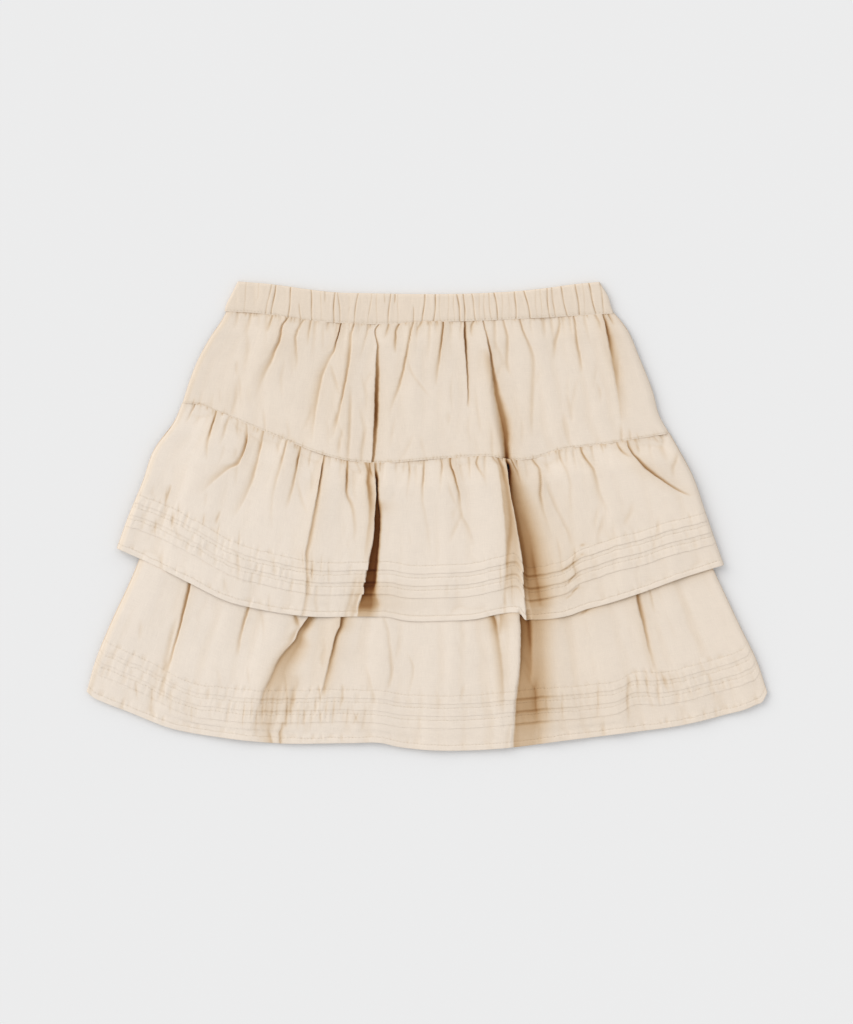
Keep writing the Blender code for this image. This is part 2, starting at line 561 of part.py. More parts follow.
def main():
    for item in list(bpy.data.objects):
        bpy.data.objects.remove(item)
    random = np.random.default_rng(SEED)
    half = 0.5 * SEAM

    add_casings(random)

    shares = (0.0, 0.05, 0.14, 0.28, 0.46, 0.64, 0.82)
    upper = Panel(waist_seam, tier_line, UPPER_SIDES, UPPER_FOLDS, FRONT_SPACING, 1.9, shares,
                  gaps=(half, half))
    add_front("upper_front", upper, upper_height, floor_high, random, CREAM)

    shares = (0.0, 0.06, 0.16, 0.3, 0.46, 0.64, 0.82)
    middle = Panel(tier_line, middle_hem, MIDDLE_SIDES, MIDDLE_FOLDS, FRONT_SPACING, 2.2, shares,
                   tucked_rows(), gaps=(half, 0.0))
    add_front("middle_front", middle, middle_height, under_middle, random, CREAM)

    shares = (0.0, 0.4, 0.75, 0.92, 1.0, 1.12, 1.32, 1.64)
    lower = Panel(tier_line, lower_hem, LOWER_SIDES, LOWER_FOLDS, FRONT_SPACING, 2.2, shares,
                  tucked_rows(), knee=middle_hem, gaps=(half, 0.0))
    add_front("lower_front", lower, lower_height, lower_back_high, random, CREAM)

    shares = (0.0, 0.1, 0.35, 0.6, 0.85)
    upper = Panel(waist_seam, back_tier_line, UPPER_SIDES, UPPER_BACK_FOLDS, FLOOR_SPACING, 0.0, shares,
                  gaps=(half, half))
    add_back("upper_back", upper, floor_low, floor_high, CREAM)
    middle = Panel(back_tier_line, middle_hem, MIDDLE_SIDES, MIDDLE_BACK_FOLDS, FLOOR_SPACING, 0.0, shares,
                   gaps=(half, 0.0))
    add_back("middle_back", middle, floor_low, floor_high, CREAM)

    shares = (0.0, 0.5, 1.0, 1.02, 1.06, 1.11, 1.3, 1.6, 1.85)
    lower = Panel(back_tier_line, lower_hem, LOWER_SIDES, LOWER_BACK_FOLDS, FLOOR_SPACING, 0.0, shares,
                  knee=middle_hem, gaps=(half, 0.0))
    add_back("lower_back", lower, lower_back_low, lower_back_high, CREAM)


main()
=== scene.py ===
"""Tiered ruffle skirt, laid flat: its cloth, sewing and finish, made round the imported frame.

The frame is in metres. Sizes in the tables below are in millimetres in the same frame: x to the right,
y from the hem to the waist, heights above the floor. Each cut piece is a thin shell on its solid's form.
"""

from collections import namedtuple
from math import radians

import bpy
import numpy as np
from bpy.props import FloatProperty, FloatVectorProperty, IntProperty, PointerProperty
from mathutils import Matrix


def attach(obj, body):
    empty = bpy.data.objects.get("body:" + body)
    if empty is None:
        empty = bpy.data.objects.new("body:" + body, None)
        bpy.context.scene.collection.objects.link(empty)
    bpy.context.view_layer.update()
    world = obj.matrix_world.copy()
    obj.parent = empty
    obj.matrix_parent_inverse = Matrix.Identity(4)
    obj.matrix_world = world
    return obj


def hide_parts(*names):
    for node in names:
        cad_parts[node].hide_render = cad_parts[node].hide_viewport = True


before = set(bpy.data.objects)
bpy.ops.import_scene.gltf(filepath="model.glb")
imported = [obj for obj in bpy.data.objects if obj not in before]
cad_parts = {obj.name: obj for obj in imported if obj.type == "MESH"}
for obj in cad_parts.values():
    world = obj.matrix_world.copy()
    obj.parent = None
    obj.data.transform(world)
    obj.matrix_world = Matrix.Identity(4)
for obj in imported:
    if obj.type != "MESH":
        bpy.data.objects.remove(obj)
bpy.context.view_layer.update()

bl_info = {
    "name": "Tiered Ruffle Skirt",
    "version": (1, 0, 0),
    "blender": (4, 5, 0),
    "location": "View3D > Sidebar > Skirt",
    "description": "Makes a tiered ruffle skirt laid flat, with its folds, tucks, sewing and cotton",
    "category": "Add Mesh",
}

MM = 0.001

# Walls and clearances, and heights of the outer faces above the floor
CLOTH, FLOOR_CLOTH, UNDER_CLOTH = 1.2, 1.8, 1.4
CASING, SEAM = 2.6, 0.3
UPPER_TOP, UPPER_PUFF, TIER_SEAM = 4.9, 7.2, 6.9
MIDDLE_PUFF, MIDDLE_HEM = 10.4, 8.6
LOWER_HIDDEN, LOWER_PUFF, LOWER_HEM = 5.1, 7.4, 4.2
SIDE_FALL = 7.0

# Lengths over which a face eases from one height to the next
WAIST_EASE, TIER_EASE, RUFFLE_EASE = 20.0, 20.0, 26.0
MIDDLE_HEM_EASE, LOWER_HEM_EASE = 50.0, 60.0
SHOW_FROM, SHOW_EASE = 30.0, 36.0
DROP_TO, DROP_EASE = 13.0, 11.0

# How a crease is formed, and the shade painted into it
HEAD_EASE = 2.5            # how far it fades out past its ends
CORE_REACH, EDGE_REACH = 1.7, 1.9      # how far the painted shade of a crease goes up its soft and its steep flank
CORE_OFF = 0.6             # how far its lowest line lies toward its steep flank
TROUGH_POWER, SHADE_POWER = 1.5, 1.2   # how roundly its form and its slow painted shade go up the flank
FLANK_SHADE, PAST_SHADE = 0.73, 0.27   # shares of that slow shade that end at the flank, and run on past it
RIDGE_SHARE = 0.45         # how much of its ridge is in the form
LEAN_REACH = 5.0           # how far past its edge the cloth leans with it
HALO = 0.13                # the share of its painted shade that reaches past its flanks
WOBBLE = 0.1               # how far its edges wander from its smooth line

# Tucks, hems and sewing
TUCKS = (22.0, 33.0, 44.0)
TUCK_DEPTH, TUCK_RISE = 7.5, 0.6
HEM_DEPTH, HEM_RISE = 5.0, 0.5
SEAM_STITCH = 1.5          # topstitching above the tier seam and above the casing's lower edge
GROOVE = 0.2               # how deep the thread pulls the cloth in
SEAM_DROP = 0.5            # how far the casing comes down to its seam
TUCKED_IN, TURN_IN = 0.2, 0.9      # how far a tier's top lies below the tier above, and reaches up under it
HALF_SEAM = 0.5 * SEAM
LEAST_FACE = FLOOR_CLOTH + SEAM + CLOTH     # a front's outer face where only its own back lies below it
TUCK_SHIFT = (8.0, 10.0, 76.0, 22.0)        # the band above the hem in which the tucks' lines shift
PUCKER_BAND = (TUCKS[0] - 3.0, 3.0, 56.0, 4.0)
PUCKER_REACH, SEWN_REACH = 3.2, 0.6         # how far from the stitching the cloth puckers and darkens
PRESSED_MOST, HEM_LIFT = 0.95, 0.35         # how far a back's creases press up, and its tucked cloth lifts

# Casing: the height of its edge, the rise of its middle, its size from edge to seam, and its nips
CASING_EDGE, CASING_PUFF, CASING_SPAN = 0.7, 0.35, 27.0
NIP_DEPTH, NIP_SHOULDER, NIP_FADE = 0.7, 0.16, 0.12
NIP_DARK, NIP_DARK_FALL = 0.5, 0.24         # painted shade in a nip: the light lost at the upper edge, and how much less at the seam

# Columns of a panel's grid: steps of the search for them, the least room between two, and the side edges'
SCAN_STEPS = 500
LEAST_SPACING = 0.22
SIDE_COLUMNS = (0.0, 0.5, 1.2, 2.2, 3.6, 5.2, SIDE_FALL)

# Painted shade and light, and the seed of all chance
RIM_DARK, RIM_REACH = 0.03, 5.0    # painted shade on a tier's side edges: how much they darken, and how far in
LEFT_RIM, LEFT_RIM_AT, LEFT_RIM_WIDE = 0.09, 3.2, 2.2      # a line of painted shade inside the left edges: how dark, where and how wide
HEM_SHADE = ((0.16, 1.7), (0.09, 6.0))      # painted shadow below the short ruffle's hem: how dark, and how far down
HEM_SHADE_FROM, HEM_SHADE_EASE = 30.0, 60.0
LIGHT_MIDDLE, LIGHT_FALL = 1.025, 0.00009   # painted light on the ruffles at x = 0, and its loss for each mm right
HOLLOW_DARK = 0.3          # painted shade in a small hollow: how much it darkens the cloth's colour, for each millimetre
SHADE_HUE = (0.635, 1.0, 1.54)     # how fast red, green and blue go in painted shade, warm as where light bounces from cloth to cloth
SEED = 11

# In metres: from one thread of the weave to the next, the floor, and the place at which the camera looks
THREAD_PITCH = 0.00062
FLOOR_REACH, FLOOR_DROP = 6.0, 0.0002
VIEW_MIDDLE = (-0.00045, 0.0036)


def table(text):
    """Rows of numbers: a comma ends a row, and spaces part its numbers."""
    return tuple(tuple(float(number) for number in row.split()) for row in text.split(","))


# Plan outline, (x, y) along each line from left to right
WAIST_EDGE = table("""
    -170 211, -140 208.5, -105 203.7, -80 201, -60 200.5, 50 200.5, 78 202, 107 205, 133 208.5, 155 210.5""")
WAIST_SEAM = table("-182 184, -150 182, -110 175.8, -80 173.5, -40 172.2, 0 174, 50 175.6, 100 178, 168 182")
TIER_LINE = table("""
    -220 101, -208 100.5, -190 94, -163 83, -127 68, -93 55, -70 49.5, -40 47.5, 0 50.5, 35 53, 58 53.5,
    72 50.5, 95 51.5, 119 59, 157 64, 190 69.5, 218 74""")
BACK_TIER_LINE = table("-220 101, -110 64, 0 50, 110 55, 218 74")
MIDDLE_HEM_LINE = table("""
    -279 -29, -250 -42, -212 -61, -180 -76.5, -150 -84, -110 -90, -50 -90.5, -33 -91.2, -24 -93.3, 15 -94.3,
    45 -92.5, 66 -88, 80 -86.8, 83.5 -87.4, 87 -92.7, 93 -93.1, 110 -92.6, 130 -88.8, 141 -84.6, 160 -79.5,
    190 -70, 230 -55.5, 267 -44""")
LOWER_HEM_LINE = table("""
    -306 -158, -301 -162.5, -290 -167.8, -270 -175.5, -230 -191, -190 -198.5, -132 -204.5, -70 -204.3,
    -38 -204.7, -28 -207.2, -12 -209.4, 40 -210.8, 78 -208, 120 -202.5, 180 -195, 230 -188, 265 -179.5,
    295 -170, 303 -165, 306 -158.5""")

# Side edges, (y, x) from the bottom up
CASING_SIDES = (table("184 -182, 190 -180.5, 200 -175.5, 211 -170"),
                table("182 168, 187 166, 197 163, 210.5 155"))
UPPER_SIDES = (table("101 -220, 120 -214, 140 -206, 160 -195, 178 -183, 184 -180"),
               table("74 218, 90 209, 110 203.5, 142 191, 170 178, 182 168"))
MIDDLE_SIDES = (table("-29 -279, 0 -268.5, 30 -256, 60 -245, 85 -227, 101 -220"),
                table("-44 267, -30 262, 0 251.5, 40 237, 60 226, 74 218"))
LOWER_SIDES = (table("-158 -306, -130 -298, -98 -285, -55 -265, -38 -258, 40 -230, 98 -206"),
               table("-158.5 306, -130 296.5, -98 281, -65 265.5, -48 257.5, 10 232, 72 206"))

# How far the tuck lines stand off their usual height above the hem, (x, shift)
MIDDLE_TUCK_SHIFT = table("""
    -279 0, -240 3.5, -200 3, -170 1.5, -130 0, -100 -1.8, -60 -2, 0 -1.2, 40 -1, 66 -.5, 84 .5, 90 -4.1,
    97 -4.3, 102 -3.7, 107 -3.2, 112 -2.8, 126 -1.8, 135 1.7, 150 3, 170 4, 190 2, 210 1, 230 0, 267 -2""")
LOWER_TUCK_SHIFT = table("""
    -306 0, -275 0, -240 -2.5, -225 -5, -205 -7, -190 -6.5, -150 -5, -120 -3, -100 -2.5, -70 -3, -40 -4.5,
    0 -2.5, 30 -2, 84 -1.5, 100 -2, 150 -4, 176 -2, 184 2, 205 0, 220 -1, 255 0, 306 0""")
# How strongly the sewing puckers the cloth, (x, share)
MIDDLE_PUCKER = table("-279 1.2, -200 1.3, -130 1.2, -90 .7, -50 .5, 40 .4, 80 .9, 140 .7, 190 .9, 267 .9")
LOWER_PUCKER = table("""
    -306 1.1, -230 1.2, -170 1, -120 1.4, -80 1.1, -20 .5, 60 .6, 100 1, 160 .6, 200 1.2, 306 1""")

# A crease follows its rows of (x, y, deep, wide) from the top down: deep and wide are the shares of its full
# depth and width there. It is depth deep, and its flanks reach left and right of it. Shade is painted into
# it, darkening the cloth's colour by dark. The edge on its steeper flank is raised by ridge and leans over
# it by lean, and its wider flank has a flat bottom over the share flat. The share far of that painted shade
# fades slowly up that flank, the rest at once.
Crease = namedtuple("Crease", "rows depth left right dark ridge lean flat far",
                    defaults=(0.0, 0.0, 0.0, 0.55))


def crease_table(text):
    """Creases: each has its numbers from depth on, a colon, its rows and a semicolon.

    Deep and wide are 1 where a row leaves them out.
    """
    parts = (crease.split(":") for crease in text.split(";"))
    return tuple(Crease(tuple((*row, 1.0, 1.0)[:4] for row in table(rows)), *table(numbers)[0])
                 for numbers, rows in parts)


def puckers(text):
    """Short creases across the tucks, from rows of (x at the top, x below, y, y below, dark)."""
    return tuple(Crease(((high, y, 0.2, 0.8), (0.5 * (high + low), 0.5 * (y + y_low), 1.0, 1.0),
                         (low, y_low, 0.2, 0.8)), 0.3, 1.1, 1.6, dark)
                 for high, low, y, y_low, dark in table(text))


UPPER_CREASES = crease_table("""
    .56 3 2 .32: -139 181 1 .6, -141.5 173 .8 .8, -144 165 0;
    1.49 8 4 .38 .5: -124 179 .5 .2, -130 171.5 .9 .3, -131.5 163 1 .45, -133.5 156 1 .5, -137 148.5 .85 .6,
        -141 139 .6 .9, -146.5 129 .35 1.2, -151 118 .14 1.5, -157 100 0 1.5;
    .93 5 2.5 .27: -110.5 177 .8 .4, -115 170 .8 .5, -118 162 .8 .6, -118 150 .6 .8, -117.5 140 .3,
        -118.5 128 0;
    .5 2.2 2 .36: -104.5 176 1 .6, -106 169 .7 .8, -108 152 0;
    .37 3 3 .11: -93.5 172 .5 .5, -94 160 .6, -94 146 0;
    1.98 9 2.6 .63 .9: -76.5 175 1 .15, -79 165 1 .17, -81.5 156 .72 .22, -83.5 149 .42 .4, -88 142 .27 .8,
        -94 129 .34, -98 112 .34 1.1, -101 96 .28 1.1, -103 80 .14, -105 64 0;
    1.24 6 2.4 .32 .4: -65.5 172 .9 .3, -68 165 .6 .6, -69 156 .6 .8, -70 145 .85 .9, -71.5 133 .9 .8,
        -73.5 121 1 .6, -76 108 .8 .5, -79 96 .45 .7, -82 84 .3, -86 68 0;
    .62 4.5 4.5 .13: -69 118 0 .8, -69.5 100 .8, -70.5 75, -71.5 58 .8, -72 49 .5;
    .62 2.6 2.6 .18: -53 173 .8 .5, -54.5 165 .6 .8, -58 152 .3, -61 140 0;
    2.23 2.4 4.4 .77 1.6 1 .35: -43 173 .3 .35, -46.3 168 .35 .35, -46 160 .35 .35, -44.3 153 .45 .45,
        -44.8 146 .52 .6, -45 130 .75 .9, -45.8 110 .95, -46.2 90 1.05, -47.2 72 .76 .9, -48 58 .65 .7,
        -49.5 46 .6 .6;
    .81 2 2.2 .36: -34 173 1 .6, -36 165 .5, -38 159 0;
    .99 2.4 2.4 .5: -25 173 .9 .5, -27.5 168.5 .9 .5, -28.7 160 .85 .7, -29 146 0;
    1.05 4 2.2 .32 .4: -12.5 174 .9 .5, -15.3 163 .9 .5, -17.3 152 .9 .5, -19.5 141 1 .6, -21.5 131 .9 .6,
        -24.5 120 .65 .8, -28 110 .4 .9, -32 100 .2, -34 88 0;
    .62 1.8 2.2 .36: -5 174 1 .6, -8 168 .4, -9 160 0;
    1.24 5 2 .52 .4: 14.7 176 1 .5, 14.2 167 1 .5, 13 157 1 .5, 11.5 146 .65 .6, 10 137 .4 .9, 8.5 128 .25,
        7.5 116 0;
    1.86 2 3 .72 1.2 .6 .2: 34 177 .9 .5, 34 166 1 .8, 34.7 155 1 .8, 35.6 140 .75 .6, 36.5 127 .6 .6,
        37 113 .45 .5, 37.2 105 .3 .6, 37.2 97 0;
    .81 2 2.4 .36: 43 177 1 .5, 40.5 171 .7 .8, 40.5 160 0;
    2.23 6.5 7 .68 1.2 .6 .2 .65: 50 177 .4 .2, 53.5 163 .4 .2, 55.4 154.5 .7 .25, 57.2 145 .9 .3,
        59 132 .9 .4, 61 120 .95 .7, 62.7 108 .92 1.1, 65 98 .92 1.4, 67.8 86 .96 1.6, 70.2 74 1.05 1.3,
        71 62 1.1, 71.7 49 1.4 .95;
    .81 4 2.8 .2: 68 177 .8 .4, 70.5 168 .8 .6, 72 159 .8 .8, 71.5 149 .7, 71.5 139 .5, 73 128 0;
    .4 9 3 .36 0 0 0 .9: 52.5 152 0 .8, 55 141 .7 .8, 57 130 .7 .8, 60 112 .4 .8, 63.5 98 .5 .9, 66.5 84 .9,
        68.5 72 1.1, 70.2 60 .9, 71 48 .8;
    .87 3.5 3.5 .27: 83 177 1 .4, 86 167 .9 .4, 89.5 158 .6 .6, 92.5 151 .5 .9, 94.5 143 .4 1.3,
        94.5 120 .4 1.5, 93.5 90 .35 1.5, 93.5 70 0 1.5;
    .81 4 3 .2: 118 180 .8 .5, 119 172 .8 .6, 117 164 .8 .8, 114.5 155 .6, 113.5 140 0;
    1.05 4 2.2 .34 .3: 131.5 181 .9 .4, 133.3 170 .8 .5, 134 160 .8 .7, 135.5 150 .7 .8, 137.5 140 .45 .9,
        138.5 128 0;
    .62 2.2 2.2 .25: 150 182 .9 .6, 153.5 175 .6 .9, 156 165 0;
    1.61 2.6 8 .7 .8 .4 0 .7: 158 182 .5 .4, 160.5 173.5 .95 .5, 163 163 1 .8, 165.2 153 .8,
        167.3 142 .56 1.2, 169.5 130 .44 1.3, 171.5 117 .32 1.3, 173.5 104 .2 1.4, 175 90 .1 1.4,
        176 80 0 1.4;
    .87 1.8 2.2 .42: 162.5 183 1 .6, 165.5 177 .6 .8, 169 171 0;
    .37 7 7 .04: -164 176 .5, -162 150 .8, -166 128 0;
    .43 6 6 .05: -172 125 0, -172 110, -176 92 .6;
    .25 3 3 .05: -148 98 0, -146.5 86, -146.5 76;
    .37 5 5 .04: 42 118 0, 45 95 .8, 48 72 0;
    .31 4 4 .04: -29 92 0, -32 74 .8, -34 58 0;
    .43 4 3 .09: -55 82 0, -58 68 .8, -60 49 .7;
    .37 3 3 .07: 57 88 0, 57.5 68 .8, 58 53 .6;
    .37 4 5 .05: 136 126 0, 132 108 .7, 130 80 0;
    .37 2.5 2.5 .09: 174 84 0, 174 74, 174.5 65;
    .37 2 2 .11: 181 80 0, 182 72, 183 66""")
MIDDLE_CREASES = crease_table("""
    .56 2.4 2.4 .14: -208 101 .8 .6, -213 92 .6 .9, -218 82 0;
    1.24 3.5 2.2 .5 .4: -189.5 94 1 .5, -192 85 1 .5, -194.8 76 .8 .6, -197 69 .4, -198.3 60 .25, -198 50 0;
    .68 4 3 .18: -178 89 .6 .5, -181 82 .8 .8, -183.5 73 .5, -187 62 0;
    .62 2 2 .23: -170 89 .9 .6, -171 80 .6, -171 72 0;
    1.86 8 2.2 .54 .8 .4: -162.5 86 .3 .4, -161.8 77 .5 .5, -162 68 .84 .5, -164 59.5 .72 .55,
        -167.5 52 .55 .6, -170.8 47 .4 .8, -179 43 .28, -188 36 .2 1.2, -198 27 .1 1.3, -206 18 0 1.3;
    1.49 7 2.4 .41 .5: -147 77 .9 .5, -149.5 64 .7 .7, -152 53 .48 .8, -155 42 .44, -158.5 31 .33 1.2,
        -163 20 .25 1.3, -169 8 .12 1.4, -176 -2 0 1.4;
    .99 5 2.6 .31: -125.5 69 .8 .4, -129 56 .8 .5, -132 45 .5 .8, -136 32 .35, -139 18 .2, -140 0 .1,
        -139 -14 0;
    1.12 4 2.4 .5 .3: -113.5 63 1 .4, -116 51 1.2 .5, -118 40 .66 .6, -120.5 29 .45 .8, -123.5 18 .25,
        -127 6 0;
    .62 2 2 .23: -104 60 .8 .6, -106 52 .6 .9, -107 42 0;
    1.86 2.2 6 .59 1.4 .9: -92.2 57 1 .4, -94 46 1 .5, -96 32 .9 .6, -98.2 16 .6 .8, -100.3 4 .5,
        -102.5 -8 .45, -105.2 -21 .42, -107.8 -33 .4 .9, -107.3 -45 .26 .9, -107.3 -60 .3 .9, -108.4 -75 .2,
        -112 -92 .15;
    1.24 3 3.5 .5 .4: -71.5 51 1.1 .5, -71.5 40 1.25 .6, -71.8 28 1 .7, -71.5 19 .55 .8, -67.3 10 .35 1.3,
        -65.5 1 .25 1.4, -64.5 -12 .15 1.4, -66 -25 0 1.4;
    .56 2 2 .2: -66 51 .9 .5, -62 44 .6 .8, -59 36 0;
    .99 3.5 5.8 .5 0 0 0 .85: -55.5 49 .8 .5, -53 42 1 .7, -52.7 30 1.2, -51.4 18 1 1.1, -50.9 5 .65 1.2,
        -52 -10 .45 1.3, -54 -24 .3 1.3, -57 -44 0 1.2;
    .6 9 7.5 .13: -59 -44 0, -61 -56 .9, -64 -68, -67 -78 1.1, -68 -90 1.4;
    .6 1.2 1.2 .7: -52 48 1 .6, -51.6 42 1 .7, -50 34 0;
    4.5 2 5.6 .93 2 1 .8 .15: -47.2 47 .5 .3, -46.8 42 .6 .3, -46.4 36 .92 .42, -45.9 30 1 .4,
        -45.8 24 1 .36, -45.7 17 .97 .4, -45.8 9 .93 .6, -46 0 .98 .9, -46.3 -10 1 .94, -47 -20 1 .94,
        -49 -30 1 1.16, -51 -40 1 1.42, -52.9 -50 1 1.62, -54.6 -57 .98 1.8, -56 -64 .8 1.78,
        -56.4 -69 0 1.7;
    .5 1 7 .62 0 0 0 .9: -43.5 16 0 .5, -43.5 9 1 .8, -42.5 2 .5 .6, -42 -5 0 .5;
    4.2 2.6 21.5 .88 2 1 .45 .9: -54.5 -54 0 .5, -56.6 -62 .75 .78, -57.2 -68 .95 .74, -58.8 -76 .9 .96,
        -60.2 -82 .86, -60.8 -86 .55, -61.5 -93 .36;
    .5 1.6 1.6 .27: -42.5 54 .8 .6, -42.5 44 .8 .8, -43 38 0;
    .5 1.8 1.8 .18: -28 50 .8 .6, -28.5 44 .4, -28.5 38 0;
    .5 1.8 1.8 .18: -21 51 .8 .6, -21.5 43 .4, -21.5 38 0;
    .74 2 2.2 .31: -17 51 1 .5, -15.5 43 .9 .6, -15.5 36 .4, -17 24 .15 1.4, -18 14 0 1.4;
    .93 3 2.6 .34: -3 52 .9 .5, -3 42 .9 .5, -3.8 32 .8 .6, -4.5 24 .4 .9, -4.5 14 .2 1.3, -2 0 .12 1.5,
        1 -20 .08 1.8, 3 -40 0 1.8;
    .68 2 2 .34: 11.8 53 .8 .5, 13.2 46 1 .6, 12.5 40 .5 .9, 11.5 28 .12 1.3, 11 18 0 1.4;
    1.18 4 2.2 .66 .3: 20.5 54 1 .6, 21 47 1 .5, 24 38 .95 .5, 27 27 .7 .5, 28.7 19 .42 .7, 29 10 .2 1.2,
        31 0 .16 1.3, 37 -12 .1 1.6, 42 -28 0 1.8;
    .37 1.6 1.6 .13: 25.5 52 .5 .8, 26.5 43 .4, 27 36 0;
    .56 2 2 .27: 37 54 1 .8, 37.5 46 .5, 38 30 0 1.2;
    .81 2 2.6 .4: 45.8 54 1 .5, 44.6 47.5 .9 .6, 47 42 .5 .8, 52 34 .15 1.2, 55 24 0 1.2;
    .62 1.8 1.8 .29: 57.5 55 .9 .6, 60.5 50 .8 .8, 64 46 0;
    .99 4 4.5 .34: 63 54 .8 .3, 66.5 46 .9 .5, 69 36 .8 .7, 71.5 25 .7 .9, 73.5 12 .66 1.1, 75 0 .6 1.1,
        75 -12 .62 1.1, 73.8 -25 .62, 72.8 -38 .45, 71.8 -50 .4, 70.5 -66 .35 .8, 70 -88 .35 .6;
    4.5 2 34 .73 2 1 .05 .93: 70.4 52 .6 .12, 71.2 47 .85 .2, 72.2 41 .95 .34, 73.2 34 1 .48, 74.4 27 1 .6,
        75.6 20 1 .68, 77.2 12 1 .76, 79.1 4 .92 .84, 80.6 -4 .93 .88, 82 -12 .95 .92, 83.8 -22 .98 .97,
        85.6 -32 .96, 87 -42 .94 1.06, 87.6 -52 .78 1.12, 88 -62 .66 1.12, 89.2 -72 .45 1.12, 90 -82 .45,
        90.3 -94 .5 .9;
    .5 2.2 10 .34 0 0 .6 .9: 62 52 .3 .5, 65.5 40 .8 .72, 66.8 30 .85 .7, 68.2 20 .95 .7, 69.2 10 1 .8,
        70.6 0 1 .9, 71.6 -10 .95 1.05, 72.2 -20 .9 1.18, 72.4 -33 .72 1.32, 72.5 -45 .7 1.45,
        73 -60 .5 1.45, 74 -72 .2 1.45, 75 -80 0 1.45;
    .99 1.5 3 .97 0 0 .4: 70 52 .4 .6, 71.9 47 1 1.4, 73.2 41 1 1.4, 73.8 34 .9 1.2, 74.6 26 .45, 75.6 18 0;
    .4 2.6 17 .27 0 0 .42 .9: 80.5 10 0 .7, 81.4 2 .5 .75, 83 -6 .6 .8, 84.6 -14 .65 .9, 86.2 -22 .75 .95,
        87.8 -32 .95, 89 -42 1.05, 90.5 -52 1.1 1.2, 92 -62 1.3 1.4, 93.5 -72 1.3 1.5, 95 -82 .8 1.4,
        96 -94 .4 1.3;
    .3 4.5 4.5 .36: 92 -24 0, 94.6 -34 .6 .9, 96.2 -43 1 .8, 97.5 -52 .6, 99.5 -62 .8, 101 -72 .5, 102 -80 0;
    .62 1.8 1.8 .5: 75 52 1 .6, 78 45 1 .7, 81 38 .4, 83 30 0;
    .99 3 3 .42 .3: 93.5 53 1 .5, 96 48.5 .9 .5, 99.5 44 .65 .6, 101.3 37 .8 .7, 101.5 27 .85 .7,
        101.3 19 .75 .8, 103 8 .35 1.2, 107 -6 .15 1.5, 112 -22 0 1.6;
    .81 2.4 2.6 .34: 118.8 62 .9 .6, 119.2 54.5 .8 .6, 121.5 49 .4 .8, 125 42 .25, 128.5 32 .2,
        129 15 .15 1.2, 131 0 0 1.2;
    1.12 3.5 2.6 .41 .3: 137.5 63 1 .5, 139.5 56 1 .5, 144 49 .8 .7, 148.5 42 .55 1.1, 151 34 .4 1.5,
        153 24 .24 1.9, 158 12 .12 2, 163 2 0 2;
    .56 1.8 1.8 .27: 155.5 65 .9 .7, 157 60.5 .4, 158 56 0;
    .81 2 2.6 .38: 170 68 .9 .5, 173.5 60.5 1 .6, 178 56 .5 .9, 185 52 0;
    1.74 2.2 6 .56 .9 .5: 179.5 69 .8 .4, 181.5 61.5 .9 .5, 185 56 .75 .45, 190 50.5 .9 .6, 195.5 44.5 1 .8,
        201 40 1 .7, 207.5 35 .9 .6, 214 30.5 .75 .5, 221 26 .6 .5, 229 21.5 .4 .5, 237 17.5 0 .6;
    .62 1.8 1.8 .25: 187.5 69 .8 .7, 189 60.5 .6, 190 55 0;
    .56 1.8 1.8 .25: 202 72 .8 .8, 205.5 68 .6, 208 65 0;
    .5 4 4 .13: 225 60 0, 223.5 51, 220.5 44 .7, 221 34 0;
    .56 2 2 .23: 132 -30 .2 .8, 132.5 -36 .6 .5, 131 -42 .9 .5, 132.5 -50 .5 .6, 133 -60 0;
    .5 3 5 .07: 105 40 .3, 111 20 .6, 119 2 .6, 127 -15 .5 .9, 131 -28 0;
    .43 2 2 .16: -231 26 .6, -233 16 1 .8, -235 8 0;
    .37 2 2 .13: -186 6 0, -188.5 -3, -191 -11 0;
    .37 1.6 1.6 .14: -103 -40 .5 .8, -103.5 -50 1 .8, -104 -58 0;
    .43 4 3 .11: -63 -46 0, -66 -60 .6, -70 -75 .6, -74 -90 .4;
    .37 3 2 .2: -60 -62 .3 .6, -64 -74 .8 .8, -66 -86 .9""")
